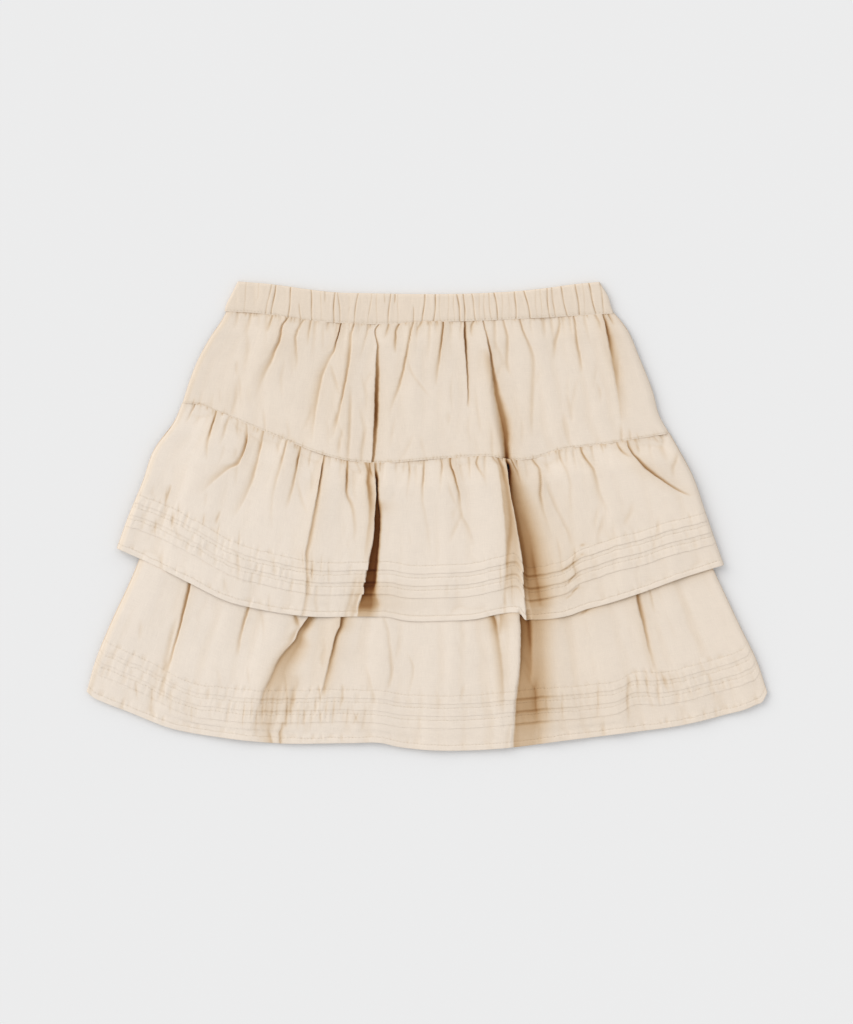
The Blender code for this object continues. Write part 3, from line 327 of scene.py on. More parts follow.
LOWER_CREASES = crease_table("""
    1.74 6 3.4 .52 1 .5: -212.5 -56 1.1 .6, -214.2 -66 1.1 .65, -216 -74 1 .65, -218 -82 .95 .6,
        -220.3 -92 .85 .5, -222.7 -102 .7 .45, -226 -113 .55 .45, -229 -122 .42 .5, -232.5 -131 .25 .8,
        -236 -142 .18, -237.5 -156 .15, -238 -168 0;
    .56 6 5 .05: -224 -88 0, -229 -104 .8, -234 -125 .9, -240 -140 .5, -246 -150 0;
    1.24 5 2.4 .38 .4: -159.5 -79 1 .7, -162.5 -88 .8 .8, -165 -97 .7 .7, -167.5 -106 .45 .8,
        -169.5 -116 .3, -171 -127 0;
    1.98 2.6 25 .63 1.3 .7 .3 .85: -104 -85 1 .35, -107.2 -92 1.02 .36, -111.4 -98 1 .4,
        -115 -103.5 .84 .44, -117.8 -111 .8 .5, -125 -120 .72 .75, -132.4 -130 .62 .95, -137.6 -140 .5 1.05,
        -143.6 -150 .4 1.3, -147 -158 .3 1.3, -150 -166 .18 1.2, -154 -180 .1 1.1, -158 -190 .05 1.1;
    .5 6.5 6 .21: -117 -99 0 .7, -119.5 -105 1 .8, -123.5 -113 .9 .9, -130 -122 .8, -136.5 -132 .9,
        -142 -142 .8 1.1, -147.5 -152 .5 1.1, -154 -164 0 1.1;
    .6 15 13 .2: -136 -158 0 .8, -140 -168 .35 .9, -142 -180 .7, -143 -192, -140 -206 1.6;
    .4 12 12 .1: -116 -140 0, -118 -152 1 1.1, -122 -166 1 1.1, -126 -178 .9, -127 -190 0;
    .56 3 2.4 .3: -120 -85 .9 .8, -118.6 -91, -116.5 -97 .6 1.2, -115 -103 0 1.2;
    .56 2.4 1.8 .2: -129 -138 0 .8, -127 -150 .5 .8, -126 -165 .9 .7, -127 -178 1 .8, -127.5 -184 .5;
    .74 1.6 6 .27: -129.5 -183 .5 .8, -131.5 -190 .9 .8, -132 -206 1 .8;
    1.74 2.2 9.5 .62 1 .7 0 .7: -76.3 -86 1 .8, -76.6 -92 1 .8, -77.5 -99 1 .7, -81 -106 1 .7,
        -83.5 -116 .9 .7, -85.5 -125 .75 .8, -87.5 -134 .6 .9, -90 -144 .45, -92.5 -153 .3, -94.5 -161 0;
    .43 1.5 1.5 .22: -92 -152 .6 .8, -92.5 -163 0;
    .43 1.5 1.5 .18: -97 -154 .8 .6, -96.5 -163 .5, -97 -170 0;
    .37 1.8 1.8 .13: -77 -150 .4, -76.5 -162 .8, -78 -168 0;
    .56 4.5 4.5 .09: -39 -92 .5 .8, -36.5 -100 .6, -34.5 -115 .6, -33 -130 .8, -32.5 -141 .8 .8,
        -36 -150 .4, -39 -160 0;
    .3 10 13 .29: 66 -84, 67 -93, 66 -102 .5 .9, 65 -108 0 .8;
    .3 14 19 .25: -77 -84, -77 -93 1.1, -78 -106 0 .8;
    .3 5 5 .14: -118 -86, -118 -95, -117 -104 0;
    .9 8.5 8 .48 0 0 0 .85: 57.5 -86 1.2 .9, 60.5 -94 1.3 .9, 62 -103 .85, 63.2 -112 .6, 65.5 -128 .5,
        67 -144 .46, 67.5 -160 .34, 68 -178 0;
    1.24 2.2 13.5 .5 1.8 .9 .68 .35: 84 -84 1 .85, 84.6 -95 1.1 .9, 85.3 -104 1.05 .9, 85.2 -112 .98 .9,
        85.2 -120 .86 .9, 85 -128 .74 .92, 84.8 -136 .56 .95, 83.6 -144 .34 .95, 82.5 -152 .1, 81.5 -160 0;
    .3 3.4 2.2 .52: 90 -88 .6, 90.6 -96, 91.4 -104 .8, 92 -112 .7 .9, 92.4 -119 .3, 93 -126 0;
    .4 6 6 .14: 98 -142 0, 97 -152 .8, 96.8 -160 1 .9, 97.5 -170, 98.5 -180 .6, 97 -190 0;
    1.49 5 40 .5 1 .5 .4 .95: 84 -86 .9 .9, 85.2 -104 .86 .9, 85 -120 .82 .9, 84.8 -136 .92 .92,
        84 -146 1 .94, 82.7 -156 1.1 .98, 81.5 -166 1.1, 81 -176 1.05, 80.4 -188 .84, 79.6 -200 .72,
        79.2 -210 .7;
    1.55 2.6 5.5 .5 .8 .4: 189 -68 1 .9, 190.5 -78, 193 -88 .85 1.1, 195.5 -98 .65 .9, 197.8 -109 .55 .8,
        200 -119 .4 .9, 202.5 -128 .25 1.1, 205 -137 .15 1.2, 208 -147 0 1.2;
    .4 2 3 .35: 148 -81 1 .8, 142.5 -85.5 .9, 136 -90 0 .6;
    .43 5 3 .07: 189 -90 0, 193 -102 .6, 196 -116 .8, 199 -130 .6, 203 -142 .3, 206 -150 0;
    .62 2.5 2.5 .14: 199.5 -66 .7 .8, 201.5 -76 .5, 204 -88 0;
    .5 2 2 .18: 210 -140 .3 .8, 213 -148 .9 .8, 215 -156 0;
    .43 2 2 .13: 217 -140 .3 .8, 220 -149 .7 .8, 222 -158 0;
    .43 2 2 .11: 224 -139 .5 .8, 227 -148 .5 .8, 229 -156 0;
    .43 1.8 4 .13: 180.5 -138 0, 181 -150 .5, 180 -163 .9 .7, 181 -178 .5, 181.5 -195 0;
    .43 4 3 .09: 76 -180 .3 .8, 73 -193 .7, 71 -208 .7""")

# Puckers across the tucks where the long ruffle's folds meet, and on the short ruffle
PLAID = puckers("""
    -163 -166 -158 -186 .1, -157 -158 -157 -182 .1, -152 -154 -160 -190 .09, -147 -148 -156 -184 .12,
    -143 -146 -160 -176 .16, -138 -140 -156 -186 .12, -134 -135 -158 -178 .12, -122 -122 -160 -182 .12,
    -118 -120 -157 -172 .1, -115 -116 -166 -190 .1, -110 -110 -164 -186 .12, -103 -105 -170 -190 .09,
    -99 -101 -158 -176 .1, -96 -95 -170 -186 .12, -89 -91 -160 -178 .11, -82 -85 -160 -184 .11,
    -76 -79 -158 -176 .09, -70 -72 -166 -186 .08, -61 -66 -172 -184 .12, -66 -61 -172 -184 .1,
    -229 -231 -150 -176 .08, 188 191 -141 -170 .1, 197 199 -140 -166 .12, 206 209 -136 -164 .09,
    214 218 -140 -160 .07, 154 154 -144 -176 .12, 97 99 -150 -180 .2, 107 108 -156 -182 .13,
    122 122 -156 -178 .07, -246 -248 -150 -172 .07, -262 -260 -146 -166 .08, -210 -212 -160 -180 .06""")
SHORT_PLAID = puckers("""
    -233 -235 25 2 .17, -243 -244 -5 -22 .11, -228 -229 0 -18 .1, -199.5 -201 1 -14 .14,
    -222 -224 11 -8 .07, -186 -188 -7 -24 .07, -168 -169 -13 -34 .06, -112 -111 -28 -50 .1,
    -103 -103 -30 -60 .1, -94 -95 -32 -52 .06, -88 -88 -36 -58 .06, 66 67 -40 -70 .08, 76 77 -44 -80 .08""")

# Slanted nips where the short ruffle's tucks step up to the right
STEPS = tuple(Crease(((x, y, 0.4, 0.8), (x - 2.2, y - 1.8, 1.0, 1.0), (x - 5.5, y - 3.4, 0.3, 0.8)),
                     0.5, 0.9, 1.6, dark) for x, y, dark in table("""
    142 -27 .14, 140.5 -36 .2, 134 -40.8 .25, 127.5 -43.5 .3, 133.5 -53.5 .28, 130.5 -56 .15,
    136.5 -65.1 .3, 131.5 -68.5 .2"""))

# Creases that the floor presses into the backs: their depth is up into the wall
UPPER_BACK_CREASES = crease_table("""
    .7 8 4 .12: -108 178 1 .5, -124 124, -136 70 0;
    .8 4 9 .12: -22 174 1 .5, -14 117, -20 60 0;
    .8 9 4 .12: 64 177 1 .5, 74 116, 84 56 0;
    .6 4 8 .12: 128 180 1 .5, 148 132, 158 84 0""")
MIDDLE_BACK_CREASES = crease_table("""
    .7 9 4 .12: -160 84 1 .5, -178 16, -204 -52 0;
    .8 4 10 .12: -84 54 1 .5, -98 -17, -104 -88 .3;
    .8 10 4 .12: 10 52 1 .5, 2 -19, 8 -90 .3;
    .7 4 10 .12: 92 52 1 .5, 112 -18, 118 -88 0;
    .7 9 4 .12: 172 66 1 .5, 204 8, 226 -50 0""")
LOWER_BACK_CREASES = crease_table("""
    .7 9 4 .12: -206 -66 1 .6, -224 -125, -236 -184 .2;
    .8 4 10 .12: -62 -98 1 .6, -74 -149, -88 -200 .2;
    .8 10 4 .12: 70 -98 1 .6, 60 -149, 62 -200 .2;
    .7 4 9 .12: 196 -74 1 .6, 210 -130, 222 -186 .2""")

# A nip in the casing runs from x_top at its upper edge to x_low at its seam, or over part of that way
Nip = namedtuple("Nip", "x_top x_low depth start end", defaults=(-0.1, 1.1))
CASING_NIPS = tuple(Nip(*row) for row in table("""
    -162 -165 .4, -151 -154 .35 -.1 .6, -140 -145 .6, -136 -140 1, -122 -125 .9, -117 -113 .7 .45,
    -104.5 -103 .9, -95 -95.5 .35, -92 -92.5 .5 -.1 .4, -83 -84 1, -80 -78 .7, -69 -71 .3 .4, -62 -66 .8,
    -50 -53 .5, -45 -45.5 .35, -38 -38.5 .5 -.1 .35, -33 -35 .85, -29 -30 .8 -.1 .35, -26 -26.5 .35,
    -13 -12 .7 .4, -2 -4 1, 8 6 .95, 11 12 .35, 19 19.5 .35, 24 24.5 .35, 27 30 1, 33 34 1, 40 44 .75,
    46.5 48 .35, 51 52 .4, 55 58 .55, 60.5 64 1, 67 68 .35, 73 74 .3, 79 80 .95, 87.5 93 1, 97 99 .35,
    102 103 .4, 107.5 110 .9, 112 115 .7, 120 126 .9, 133.5 137 1, 140 142 .4, 145 152 1, 155 159.5 .7"""))


# Colours and sizes that a user would change

def length_property(name, description, default, least, most):
    return FloatProperty(name=name, description=description, default=default, min=least, max=most,
                         unit="LENGTH", subtype="DISTANCE")


def colour_property(name, description, default):
    return FloatVectorProperty(name=name, description=description, size=3, default=default, min=0.0, max=1.0,
                               subtype="COLOR")


class SkirtCloth(bpy.types.PropertyGroup):
    wall: length_property("Cloth", "Thickness of the cloth as it is modelled", 0.0007, 0.0003, 0.001)
    grid: length_property("Grid", "Spacing of the points across a front panel", 0.0009, 0.0006, 0.006)
    crinkle: length_property("Crinkle", "Height of the small crinkles of washed cotton", 0.00025, 0.0, 0.001)
    fall: length_property("Fall", "Height of the long soft waves below a gathered seam", 0.001, 0.0, 0.002)
    pucker: length_property("Pucker", "Height of the puckers beside the tucks' stitching", 0.00036, 0.0,
                            0.001)
    gather: length_property("Gathers", "Depth of the small gathers below each seam", 0.0009, 0.0, 0.002)
    cotton: colour_property("Cotton", "Colour of the tiers", (0.80, 0.695, 0.585))
    casing: colour_property("Casing", "Colour of the gathered waistband", (0.78, 0.665, 0.545))


class SkirtSewing(bpy.types.PropertyGroup):
    length: length_property("Stitch", "Length of one stitch", 0.0025, 0.001, 0.006)
    pitch: length_property("Pitch", "From one stitch to the next", 0.0031, 0.0015, 0.008)
    thread: length_property("Thread", "Thickness of the sewing thread", 0.00045, 0.0002, 0.001)
    seed: IntProperty(name="Seed", description="Seed of the stitches' small differences", default=4)
    colour: colour_property("Thread colour", "Colour of the sewing thread", (0.80, 0.70, 0.58))


class SkirtStage(bpy.types.PropertyGroup):
    view_height: length_property("View", "Height of the floor that the camera sees", 0.9216, 0.3, 3.0)
    distance: length_property("Camera", "Height of the camera above the floor", 4.0, 1.0, 20.0)
    sun: FloatProperty(name="Key light", description="Strength of the soft light from the upper left",
                       default=1.3, min=0.0, max=10.0)
    sky: FloatProperty(name="Fill light", description="Strength of the light from all round",
                       default=0.83, min=0.0, max=5.0)
    floor: colour_property("Floor", "Colour of the floor", (0.80, 0.80, 0.80))


# Shapes

def smooth_step(value):
    inside = np.clip(value, 0.0, 1.0)
    return inside * inside * (3.0 - 2.0 * inside)


def band(value, low, low_ease, high, high_ease):
    """1 between low and high, eased in above low and out below high."""
    return smooth_step((value - low) / low_ease) * smooth_step((high - value) / high_ease)


def blend(start, end, share):
    return start + (end - start) * share


def smooth_line(rows):
    """Smooth curve through (station, value) rows, straight past its two ends."""
    knots, values = np.array(rows, float).T
    spans = np.diff(knots)
    rises = np.diff(values) / spans
    inner = (rises[:-1] * spans[1:] + rises[1:] * spans[:-1]) / (spans[1:] + spans[:-1])
    slopes = np.concatenate((rises[:1], inner, rises[-1:]))

    def value_at(station):
        station = np.asarray(station, float)
        k = np.clip(np.searchsorted(knots, station) - 1, 0, len(spans) - 1)
        f = np.clip((station - knots[k]) / spans[k], 0.0, 1.0)
        cubic = ((1 + 2 * f) * (1 - f) ** 2 * values[k] + f * f * (3 - 2 * f) * values[k + 1]
                 + spans[k] * f * (1 - f) * ((1 - f) * slopes[k] - f * slopes[k + 1]))
        past = station - np.clip(station, knots[0], knots[-1])
        return cubic + past * np.where(past < 0, slopes[0], slopes[-1])

    return value_at


waist_edge = smooth_line(WAIST_EDGE)
waist_seam = smooth_line(WAIST_SEAM)
tier_line = smooth_line(TIER_LINE)
back_tier_line = smooth_line(BACK_TIER_LINE)
middle_hem = smooth_line(MIDDLE_HEM_LINE)
lower_hem = smooth_line(LOWER_HEM_LINE)


def along(crease, y, column):
    """A crease's x, deep or wide at y, held past its ends: columns 0, 2 and 3 of its rows."""
    line = smooth_line([(row[1], row[column]) for row in reversed(crease.rows)])
    return line(np.clip(y, crease.rows[-1][1], crease.rows[0][1]))


def crease_relief(creases, x, y):
    """What creases do at x, y: the height they add, how far their edges lean, and the light left by the
    shade painted into them.
    """
    rise = np.zeros(np.broadcast(x, y).shape)
    shift = np.zeros_like(rise)
    light = np.ones_like(rise)
    for crease in creases:
        high, low = crease.rows[0][1], crease.rows[-1][1]
        near = (y.max(1) > low - HEAD_EASE) & (y.min(1) < high + HEAD_EASE)
        if not near.any():
            continue
        part = slice(near.argmax(), len(near) - near[::-1].argmax())
        down = y[part]
        slope = along(crease, down + 0.5, 0) - along(crease, down - 0.5, 0)
        aside = (x[part] - along(crease, down, 0)) / np.hypot(1.0, slope)
        deep, wide = np.maximum(along(crease, down, 2), 0.0), np.maximum(along(crease, down, 3), 0.1)
        deep = deep * band(down, low - HEAD_EASE, HEAD_EASE, high + HEAD_EASE, HEAD_EASE)
        turn = crease.rows[0][0]
        aside = aside + WOBBLE * (np.sin(0.42 * down + turn) + 0.7 * np.sin(0.97 * down + 2.3 * turn))
        narrow = np.minimum(wide, 1.0)
        toward = 1.0 if crease.left < crease.right else -1.0
        past = toward * aside + CORE_OFF * narrow
        steep = np.minimum(crease.left, crease.right) * wide
        soft = np.maximum(crease.left, crease.right) * wide
        flat = crease.flat * soft
        up_flank = np.maximum(past - flat, 0.0)
        out = np.where(past < 0, -past / steep, up_flank / (soft - flat))
        trough = (1.0 - smooth_step(out)) ** TROUGH_POWER
        edge = smooth_step(-past / steep)
        past_edge = np.maximum(-past - steep, 0.0)
        ridge = edge * np.exp(-(past_edge / (2.0 + 2.0 * steep)) ** 2)
        rise[part] += (RIDGE_SHARE * crease.ridge * ridge - crease.depth * trough) * deep
        shift[part] += toward * crease.lean * edge * np.exp(-(past_edge / LEAN_REACH) ** 2) * deep
        reach = np.minimum(CORE_REACH * (0.5 + 0.5 * narrow), 1.4 * soft)
        slow = (FLANK_SHADE * (1.0 - smooth_step(out)) ** SHADE_POWER
                + PAST_SHADE * np.exp(-up_flank / (0.8 * soft + 2.5)))
        core = (1.0 - crease.far) * np.exp(-(up_flank / reach) ** 2) + crease.far * slow
        edge_reach = np.minimum(0.8 * steep, EDGE_REACH * (0.5 + 0.5 * narrow))
        at_edge = (0.9 * (1.0 - smooth_step(-past / edge_reach))
                   + 0.1 * np.exp(np.minimum(past, 0.0) / 3.0))
        # painted shade: the crease darkens the cloth's colour, besides the real shade of its form
        light[part] *= 1.0 - crease.dark * deep * np.where(past < 0, at_edge, core)
        # a faint halo of painted shade past its flanks
        if not crease.flat:
            halo = np.exp(-((aside + toward) / (1.3 * np.minimum(soft, 6.0) + 1.5)) ** 2)
            light[part] *= 1.0 - HALO * crease.dark * np.minimum(deep, 1.0) * halo
    return rise, shift, light


def random_field(random, u, v, across, down):
    """Smooth random heights, -1 to 1, in patches of that size across and down."""
    column, row = u / across, v / down
    column, row = column - column.min(), row - row.min()
    lattice = random.uniform(-1.0, 1.0, (int(row.max()) + 2, int(column.max()) + 2))
    i, j = row.astype(int), column.astype(int)
    f, g = smooth_step(row - i), smooth_step(column - j)
    upper = blend(lattice[i, j], lattice[i, j + 1], g)
    lower = blend(lattice[i + 1, j], lattice[i + 1, j + 1], g)
    return blend(upper, lower, f)


def small_gathers(random, line, span, creases, depth, pitch, length, width, dark, up=False):
    """Creases of chance length and slant down, or up, from a seam, between those listed."""
    end = -1 if up else 0
    taken = [crease.rows[end][0] for crease in creases
             if abs(crease.rows[end][1] - line(crease.rows[end][0])) < 6.0]
    rows = []
    x = span[0]
    while x < span[1]:
        x += random.uniform(*pitch)
        run = random.uniform(*length)
        slant = random.normal(0.0, 0.06 * run) + 0.0012 * x * run
        size = random.uniform(0.3, 1.0)
        left, right = random.uniform(*width, 2)
        if min(abs(x - other) for other in taken) < 0.4 * pitch[0] + 0.8:
            continue
        turn = 1.0 if up else -1.0
        y = float(line(x)) - turn
        path = ((x, y, 1.0, 0.6), (x - 0.3 * turn * slant, y + 0.4 * turn * run, 0.6, 0.9),
                (x - turn * slant, y + turn * run, 0.0, 1.3))
        rows.append(Crease(path[::-1] if up else path, depth * size, left, right, dark * size ** 1.5))
    return tuple(rows)


def gathers(random, line, span, creases, depth):
    """The fine nips at a gathered seam, and the softer folds that run on from some of them."""
    fine = small_gathers(random, line, span, creases, 0.6 * depth, (1.8, 6.5), (1.6, 6.0), (0.6, 1.3), 0.5)
    soft = small_gathers(random, line, span, creases, 0.8 * depth, (5.0, 12.0), (12.0, 42.0), (2.5, 5.5),
                         0.12)
    return fine + soft


def wrinkles(random, count, across, down):
    """Faint creases that lie about on washed cloth, most of them down its fall."""
    found = []
    for _ in range(count):
        x, y = random.uniform(*across), random.uniform(*down)
        run, size = random.uniform(16.0, 46.0), random.uniform(0.3, 1.0)
        lean, bend = random.normal(0.0, 0.22) * run, random.normal(0.0, 0.06) * run
        left, right = random.uniform(2.2, 6.5, 2)
        rows = ((x, y, 0.0, 0.6), (x + 0.4 * lean + bend, y - 0.4 * run, 1.0, 1.0),
                (x + lean, y - run, 0.0, 0.7))
        found.append(Crease(rows, 0.34 * size, left, right, 0.05 * size))
    return tuple(found)


class Panel:
    """One cut piece as a grid in plan, between a top line, a hem line and two side edges.

    A row is a share of the way down its columns: 0 to 1 from the top line to the knee, 1 to 2 from there
    to the hem area, whose rows are (height above the hem, rise). Without a knee the first share runs all
    the way. Columns follow every crease that is at least guide_depth deep.
    """

    def __init__(self, top, hem, sides, creases, spacing, guide_depth, shares, hem_rows, knee=None,
                 gaps=(0.0, 0.0)):
        self.top, self.hem, self.knee = top, hem, knee
        self.left, self.right = (smooth_line(side) for side in sides)
        self.low_ends = [side[0] for side in sides]
        self.high_ends = [side[-1] for side in sides]
        self.spacing = spacing
        self.guides = [crease for crease in creases if crease.depth >= guide_depth]
        self.shares = np.array(shares)[:, None]
        self.hem_rows = np.array([height for height, _ in hem_rows])[:, None]
        self.row_count = len(shares) + len(hem_rows)
        self.top_gap, self.hem_gap = gaps
        self.across = self._columns()
        down = self._rows(self.across)
        length = self._ends(self.across)[-1]
        self.x, self.y = self._plan(self.across, down)
        self.above_hem, self.below_top = (1.0 - down) * length, down * length
        self.from_side = np.minimum(self.x - self.left(self.y), self.right(self.y) - self.x)
        self.u = (self.across - 0.5) * (self.low_ends[1][1] - self.low_ends[0][1])

    def _ends(self, across):
        """A column's y on the top line, its y on the hem and its length."""
        (_, x_low_left), (_, x_low_right) = self.low_ends
        (_, x_top_left), (_, x_top_right) = self.high_ends
        x_top = blend(x_top_left, x_top_right, across)
        x_low = blend(x_low_left, x_low_right, across)
        y_top = self.top(x_top) - self.top_gap
        y_low = self.hem(x_low) + self.hem_gap
        return y_top, y_low, np.hypot(x_low - x_top, y_low - y_top)

    def _plan(self, across, down):
        """x and y at a share of the way across and down."""
        y_top, y_low, _ = self._ends(across)
        y_left, y_right = (blend(high[0], low[0], down)
                           for high, low in zip(self.high_ends, self.low_ends))
        return blend(self.left(y_left), self.right(y_right), across), blend(y_top, y_low, down)

    def _rows(self, across):
        """Share of the way down for every row and column."""
        across = np.broadcast_to(across, (self.row_count, across.shape[-1]))
        y_top, y_low, length = self._ends(across)
        hem_start = 1.0 - self.hem_rows[0] / length
        knee = hem_start
        if self.knee:
            for _ in range(4):
                x, _ = self._plan(across, knee)
                knee = (y_top - self.knee(x)) / (y_top - y_low)
        plain = slice(0, len(self.shares))
        above = np.minimum(self.shares, 1.0) * knee[plain]
        below = np.maximum(self.shares - 1.0, 0.0) * (hem_start - knee)[plain]
        return np.vstack((above + below, 1.0 - self.hem_rows / length[len(self.shares):]))

    def _meets(self, crease, scan, x, y):
        """Share of the way across at which a crease meets each row, held past its ends, and its y there."""
        meets, level = [], []
        for x_row, y_row in zip(x, y):
            meets.append(np.interp(0.0, x_row - along(crease, y_row, 0), scan))
            level.append(np.interp(meets[-1], scan, y_row))
        low, high = crease.rows[-1][1], crease.rows[0][1]
        inside = [row for row, y_met in enumerate(level) if low <= y_met <= high]
        if not inside:
            return None
        rows = range(self.row_count)
        return (np.interp(rows, inside, np.array(meets)[inside]),
                np.interp(rows, inside, np.array(level)[inside]))

    def _columns(self):
        """Share of the way across for every row and column."""
        scan = np.linspace(0.0, 1.0, SCAN_STEPS)
        x, y = self._plan(scan, self._rows(scan))
        width = x[:, -1] - x[:, 0]
        rim = [np.full(self.row_count, inset) / width for inset in SIDE_COLUMNS]
        anchors = rim + [1.0 - inset for inset in rim]
        for crease in self.guides:
            found = self._meets(crease, scan, x, y)
            if found is None:
                continue
            meets, level = found
            wide = np.maximum(along(crease, level, 3), 0.3)
            for flank, steps in ((-crease.left, (0.5, 1.0)), (crease.right, (0.5, 1.0))):
                if abs(flank) <= 3.0:
                    steps = (0.35, 0.7, 1.1, 1.7)
                anchors += [meets + flank * step * wide / width for step in steps]
            anchors.append(meets)
        anchors.sort(key=np.mean)
        lines = np.array(anchors)
        least = LEAST_SPACING / width
        for line in range(1, len(lines)):
            lines[line] = np.maximum(lines[line], lines[line - 1] + least)
        lines[-1] = 1.0
        for line in range(len(lines) - 2, -1, -1):
            lines[line] = np.minimum(lines[line], lines[line + 1] - least)
        columns = []
        for start, end in zip(lines, lines[1:]):
            parts = int(np.percentile((end - start) * width, 80) / self.spacing) + 1
            columns += [blend(start, end, part / parts) for part in range(parts)]
        return np.array(columns + [lines[-1]]).T


def tuck_rows():
    """Rows of a ruffle's tucks and turned hem, from the top down: height above the hem, and rise."""
    rows = []
    for edge in reversed(TUCKS):
        seam = edge + TUCK_DEPTH
        rows += [(seam + 1.4, 0.0), (seam + 0.6, 0.02), (seam, -GROOVE), (seam - 0.6, 0.2)]
        rows += [(edge + TUCK_DEPTH * share, blend(0.22, TUCK_RISE, 1.0 - share))
                 for share in (0.76, 0.58, 0.4, 0.22)]
        rows += [(edge + 0.5, TUCK_RISE), (edge + 0.1, TUCK_RISE - 0.1), (edge, TUCK_RISE - 0.28),
                 (edge + 0.25, TUCK_RISE - 0.45), (edge + 1.0, 0.06), (edge + 0.2, 0.0), (edge - 0.9, 0.0)]
    rows += [(height, 0.0) for height in np.linspace(TUCKS[0] - 2.3, HEM_DEPTH + 1.6, 9)]
    return rows + hem_rows()


def hem_rows():
    return [(HEM_DEPTH + 0.7, 0.05), (HEM_DEPTH + 0.1, -GROOVE), (HEM_DEPTH - 0.6, HEM_RISE - 0.1),
            (3.4, HEM_RISE), (2.2, HEM_RISE), (1.1, HEM_RISE), (0.4, HEM_RISE - 0.06), (0.1, 0.25),
            (0.0, 0.0)]


STITCHED = [edge + TUCK_DEPTH for edge in TUCKS] + [HEM_DEPTH + 0.1]     # heights of a ruffle's stitching


def on_floor(x, y):
    return np.zeros_like(x)


def over_short_back(x, y):
    """1 where the long ruffle's back lies over the short one's, 0 where it has come down to the floor."""
    return smooth_step((y - middle_hem(x) + DROP_TO) / DROP_EASE)


def lower_back_low(x, y):
    return (FLOOR_CLOTH + SEAM) * over_short_back(x, y)


def lower_back_high(x, y):
    return lower_back_low(x, y) + blend(FLOOR_CLOTH, UNDER_CLOTH, over_short_back(x, y))


def round_up(edge, inner, share):
    """Quarter round from an edge's height up to the height further in, which it reaches at share 1."""
    return blend(edge, inner, np.sqrt(1.0 - (1.0 - np.clip(share, 0.0, 1.0)) ** 2))


def upper_form(x, y, from_side, relief):
    at_waist = 1.0 - smooth_step((waist_seam(x) - y) / WAIST_EASE)
    at_seam = 1.0 - smooth_step((y - tier_line(x)) / TIER_EASE)
    height = UPPER_PUFF + (UPPER_TOP - UPPER_PUFF) * at_waist + (TIER_SEAM - UPPER_PUFF) * at_seam
    return np.maximum(round_up(LEAST_FACE, height + relief, from_side / SIDE_FALL), LEAST_FACE)


def lower_form(x, y, from_side, relief):
    shows = smooth_step((middle_hem(x) + SHOW_FROM - y) / SHOW_EASE)
    above_hem = smooth_step((y - lower_hem(x)) / LOWER_HEM_EASE)
    height = blend(LOWER_HEM, blend(LOWER_HIDDEN, LOWER_PUFF, shows), above_hem)
    lowest = lower_back_high(x, y) + SEAM + CLOTH
    return np.maximum(round_up(lowest, height + relief * shows, from_side / SIDE_FALL), lowest)


def under_middle(x, y):
    """What the short ruffle lies on: the long one, or its own back beside that."""
    left, right = (smooth_line(side)(y) for side in LOWER_SIDES)
    inside = np.minimum(x - left, right - x)
    relief, _, _ = crease_relief(LOWER_CREASES, x, y)
    ruffle = lower_form(x, y, np.maximum(inside, 0.0), relief)
    return np.where(inside > -3.0, ruffle, FLOOR_CLOTH) + SEAM


def middle_form(x, y, from_side, relief):
    below_seam = smooth_step((tier_line(x) - y) / RUFFLE_EASE)
    above_hem = smooth_step((y - middle_hem(x)) / MIDDLE_HEM_EASE)
    height = blend(TIER_SEAM - 0.5, blend(MIDDLE_HEM, MIDDLE_PUFF, above_hem), below_seam)
    return np.maximum(round_up(LEAST_FACE, height + relief, from_side / SIDE_FALL),
                      under_middle(x, y) + CLOTH)


# Cloth

def spread_min(values, columns, rows):
    """Least value within that many columns and rows of each point."""
    least = values
    for axis, reach in ((1, columns), (0, rows)):
        for _ in range(reach):
            ahead = np.concatenate((least.take(range(1, least.shape[axis]), axis),
                                    least.take([-1], axis)), axis)
            behind = np.concatenate((least.take([0], axis),
                                     least.take(range(least.shape[axis] - 1), axis)), axis)
            least = np.minimum(np.minimum(least, ahead), behind)
    return least


def spread_mean(values, reach, axis):
    """Mean over reach points on either side."""
    pad = [(0, 0), (0, 0)]
    pad[axis] = (reach + 1, reach)
    total = np.cumsum(np.pad(values, pad, mode="edge"), axis)
    size = values.shape[axis]
    window = 2 * reach + 1
    return (total.take(range(window, window + size), axis) - total.take(range(size), axis)) / window


def hollow(z):
    """How far each point lies below the cloth round it, in millimetres."""
    return np.maximum(spread_mean(spread_mean(z, 6, 1), 2, 0) - z, 0.0)


def sparse(stations, spacing):
    """Indices of stations at least spacing apart, with the first and the last."""
    kept = [0]
    for index in range(1, len(stations) - 1):
        since, left = stations[index] - stations[kept[-1]], stations[-1] - stations[index]
        if since >= spacing and left > 0.3 * spacing:
            kept.append(index)
    return kept + [len(stations) - 1]


def zip_strip(faces, first, second, first_at, second_at):
    """Triangles between two edges, given their points and the stations that the points stand at."""
    i = j = 0
    while i < len(first) - 1 or j < len(second) - 1:
        last = j == len(second) - 1
        if last or (i < len(first) - 1 and first_at[i + 1] <= second_at[j + 1]):
            faces.append((first[i], first[i + 1], second[j]))
            i += 1
        else:
            faces.append((first[i], second[j + 1], second[j]))
            j += 1


def add_object(name, data):
    made = bpy.data.objects.new(name, data)
    bpy.context.collection.objects.link(made)
    return made


def store(mesh, name, values):
    """Keeps a number for each point, for the materials to read."""
    mesh.attributes.new(name, "FLOAT", "POINT").data.foreach_set("value", values.astype(np.float32))


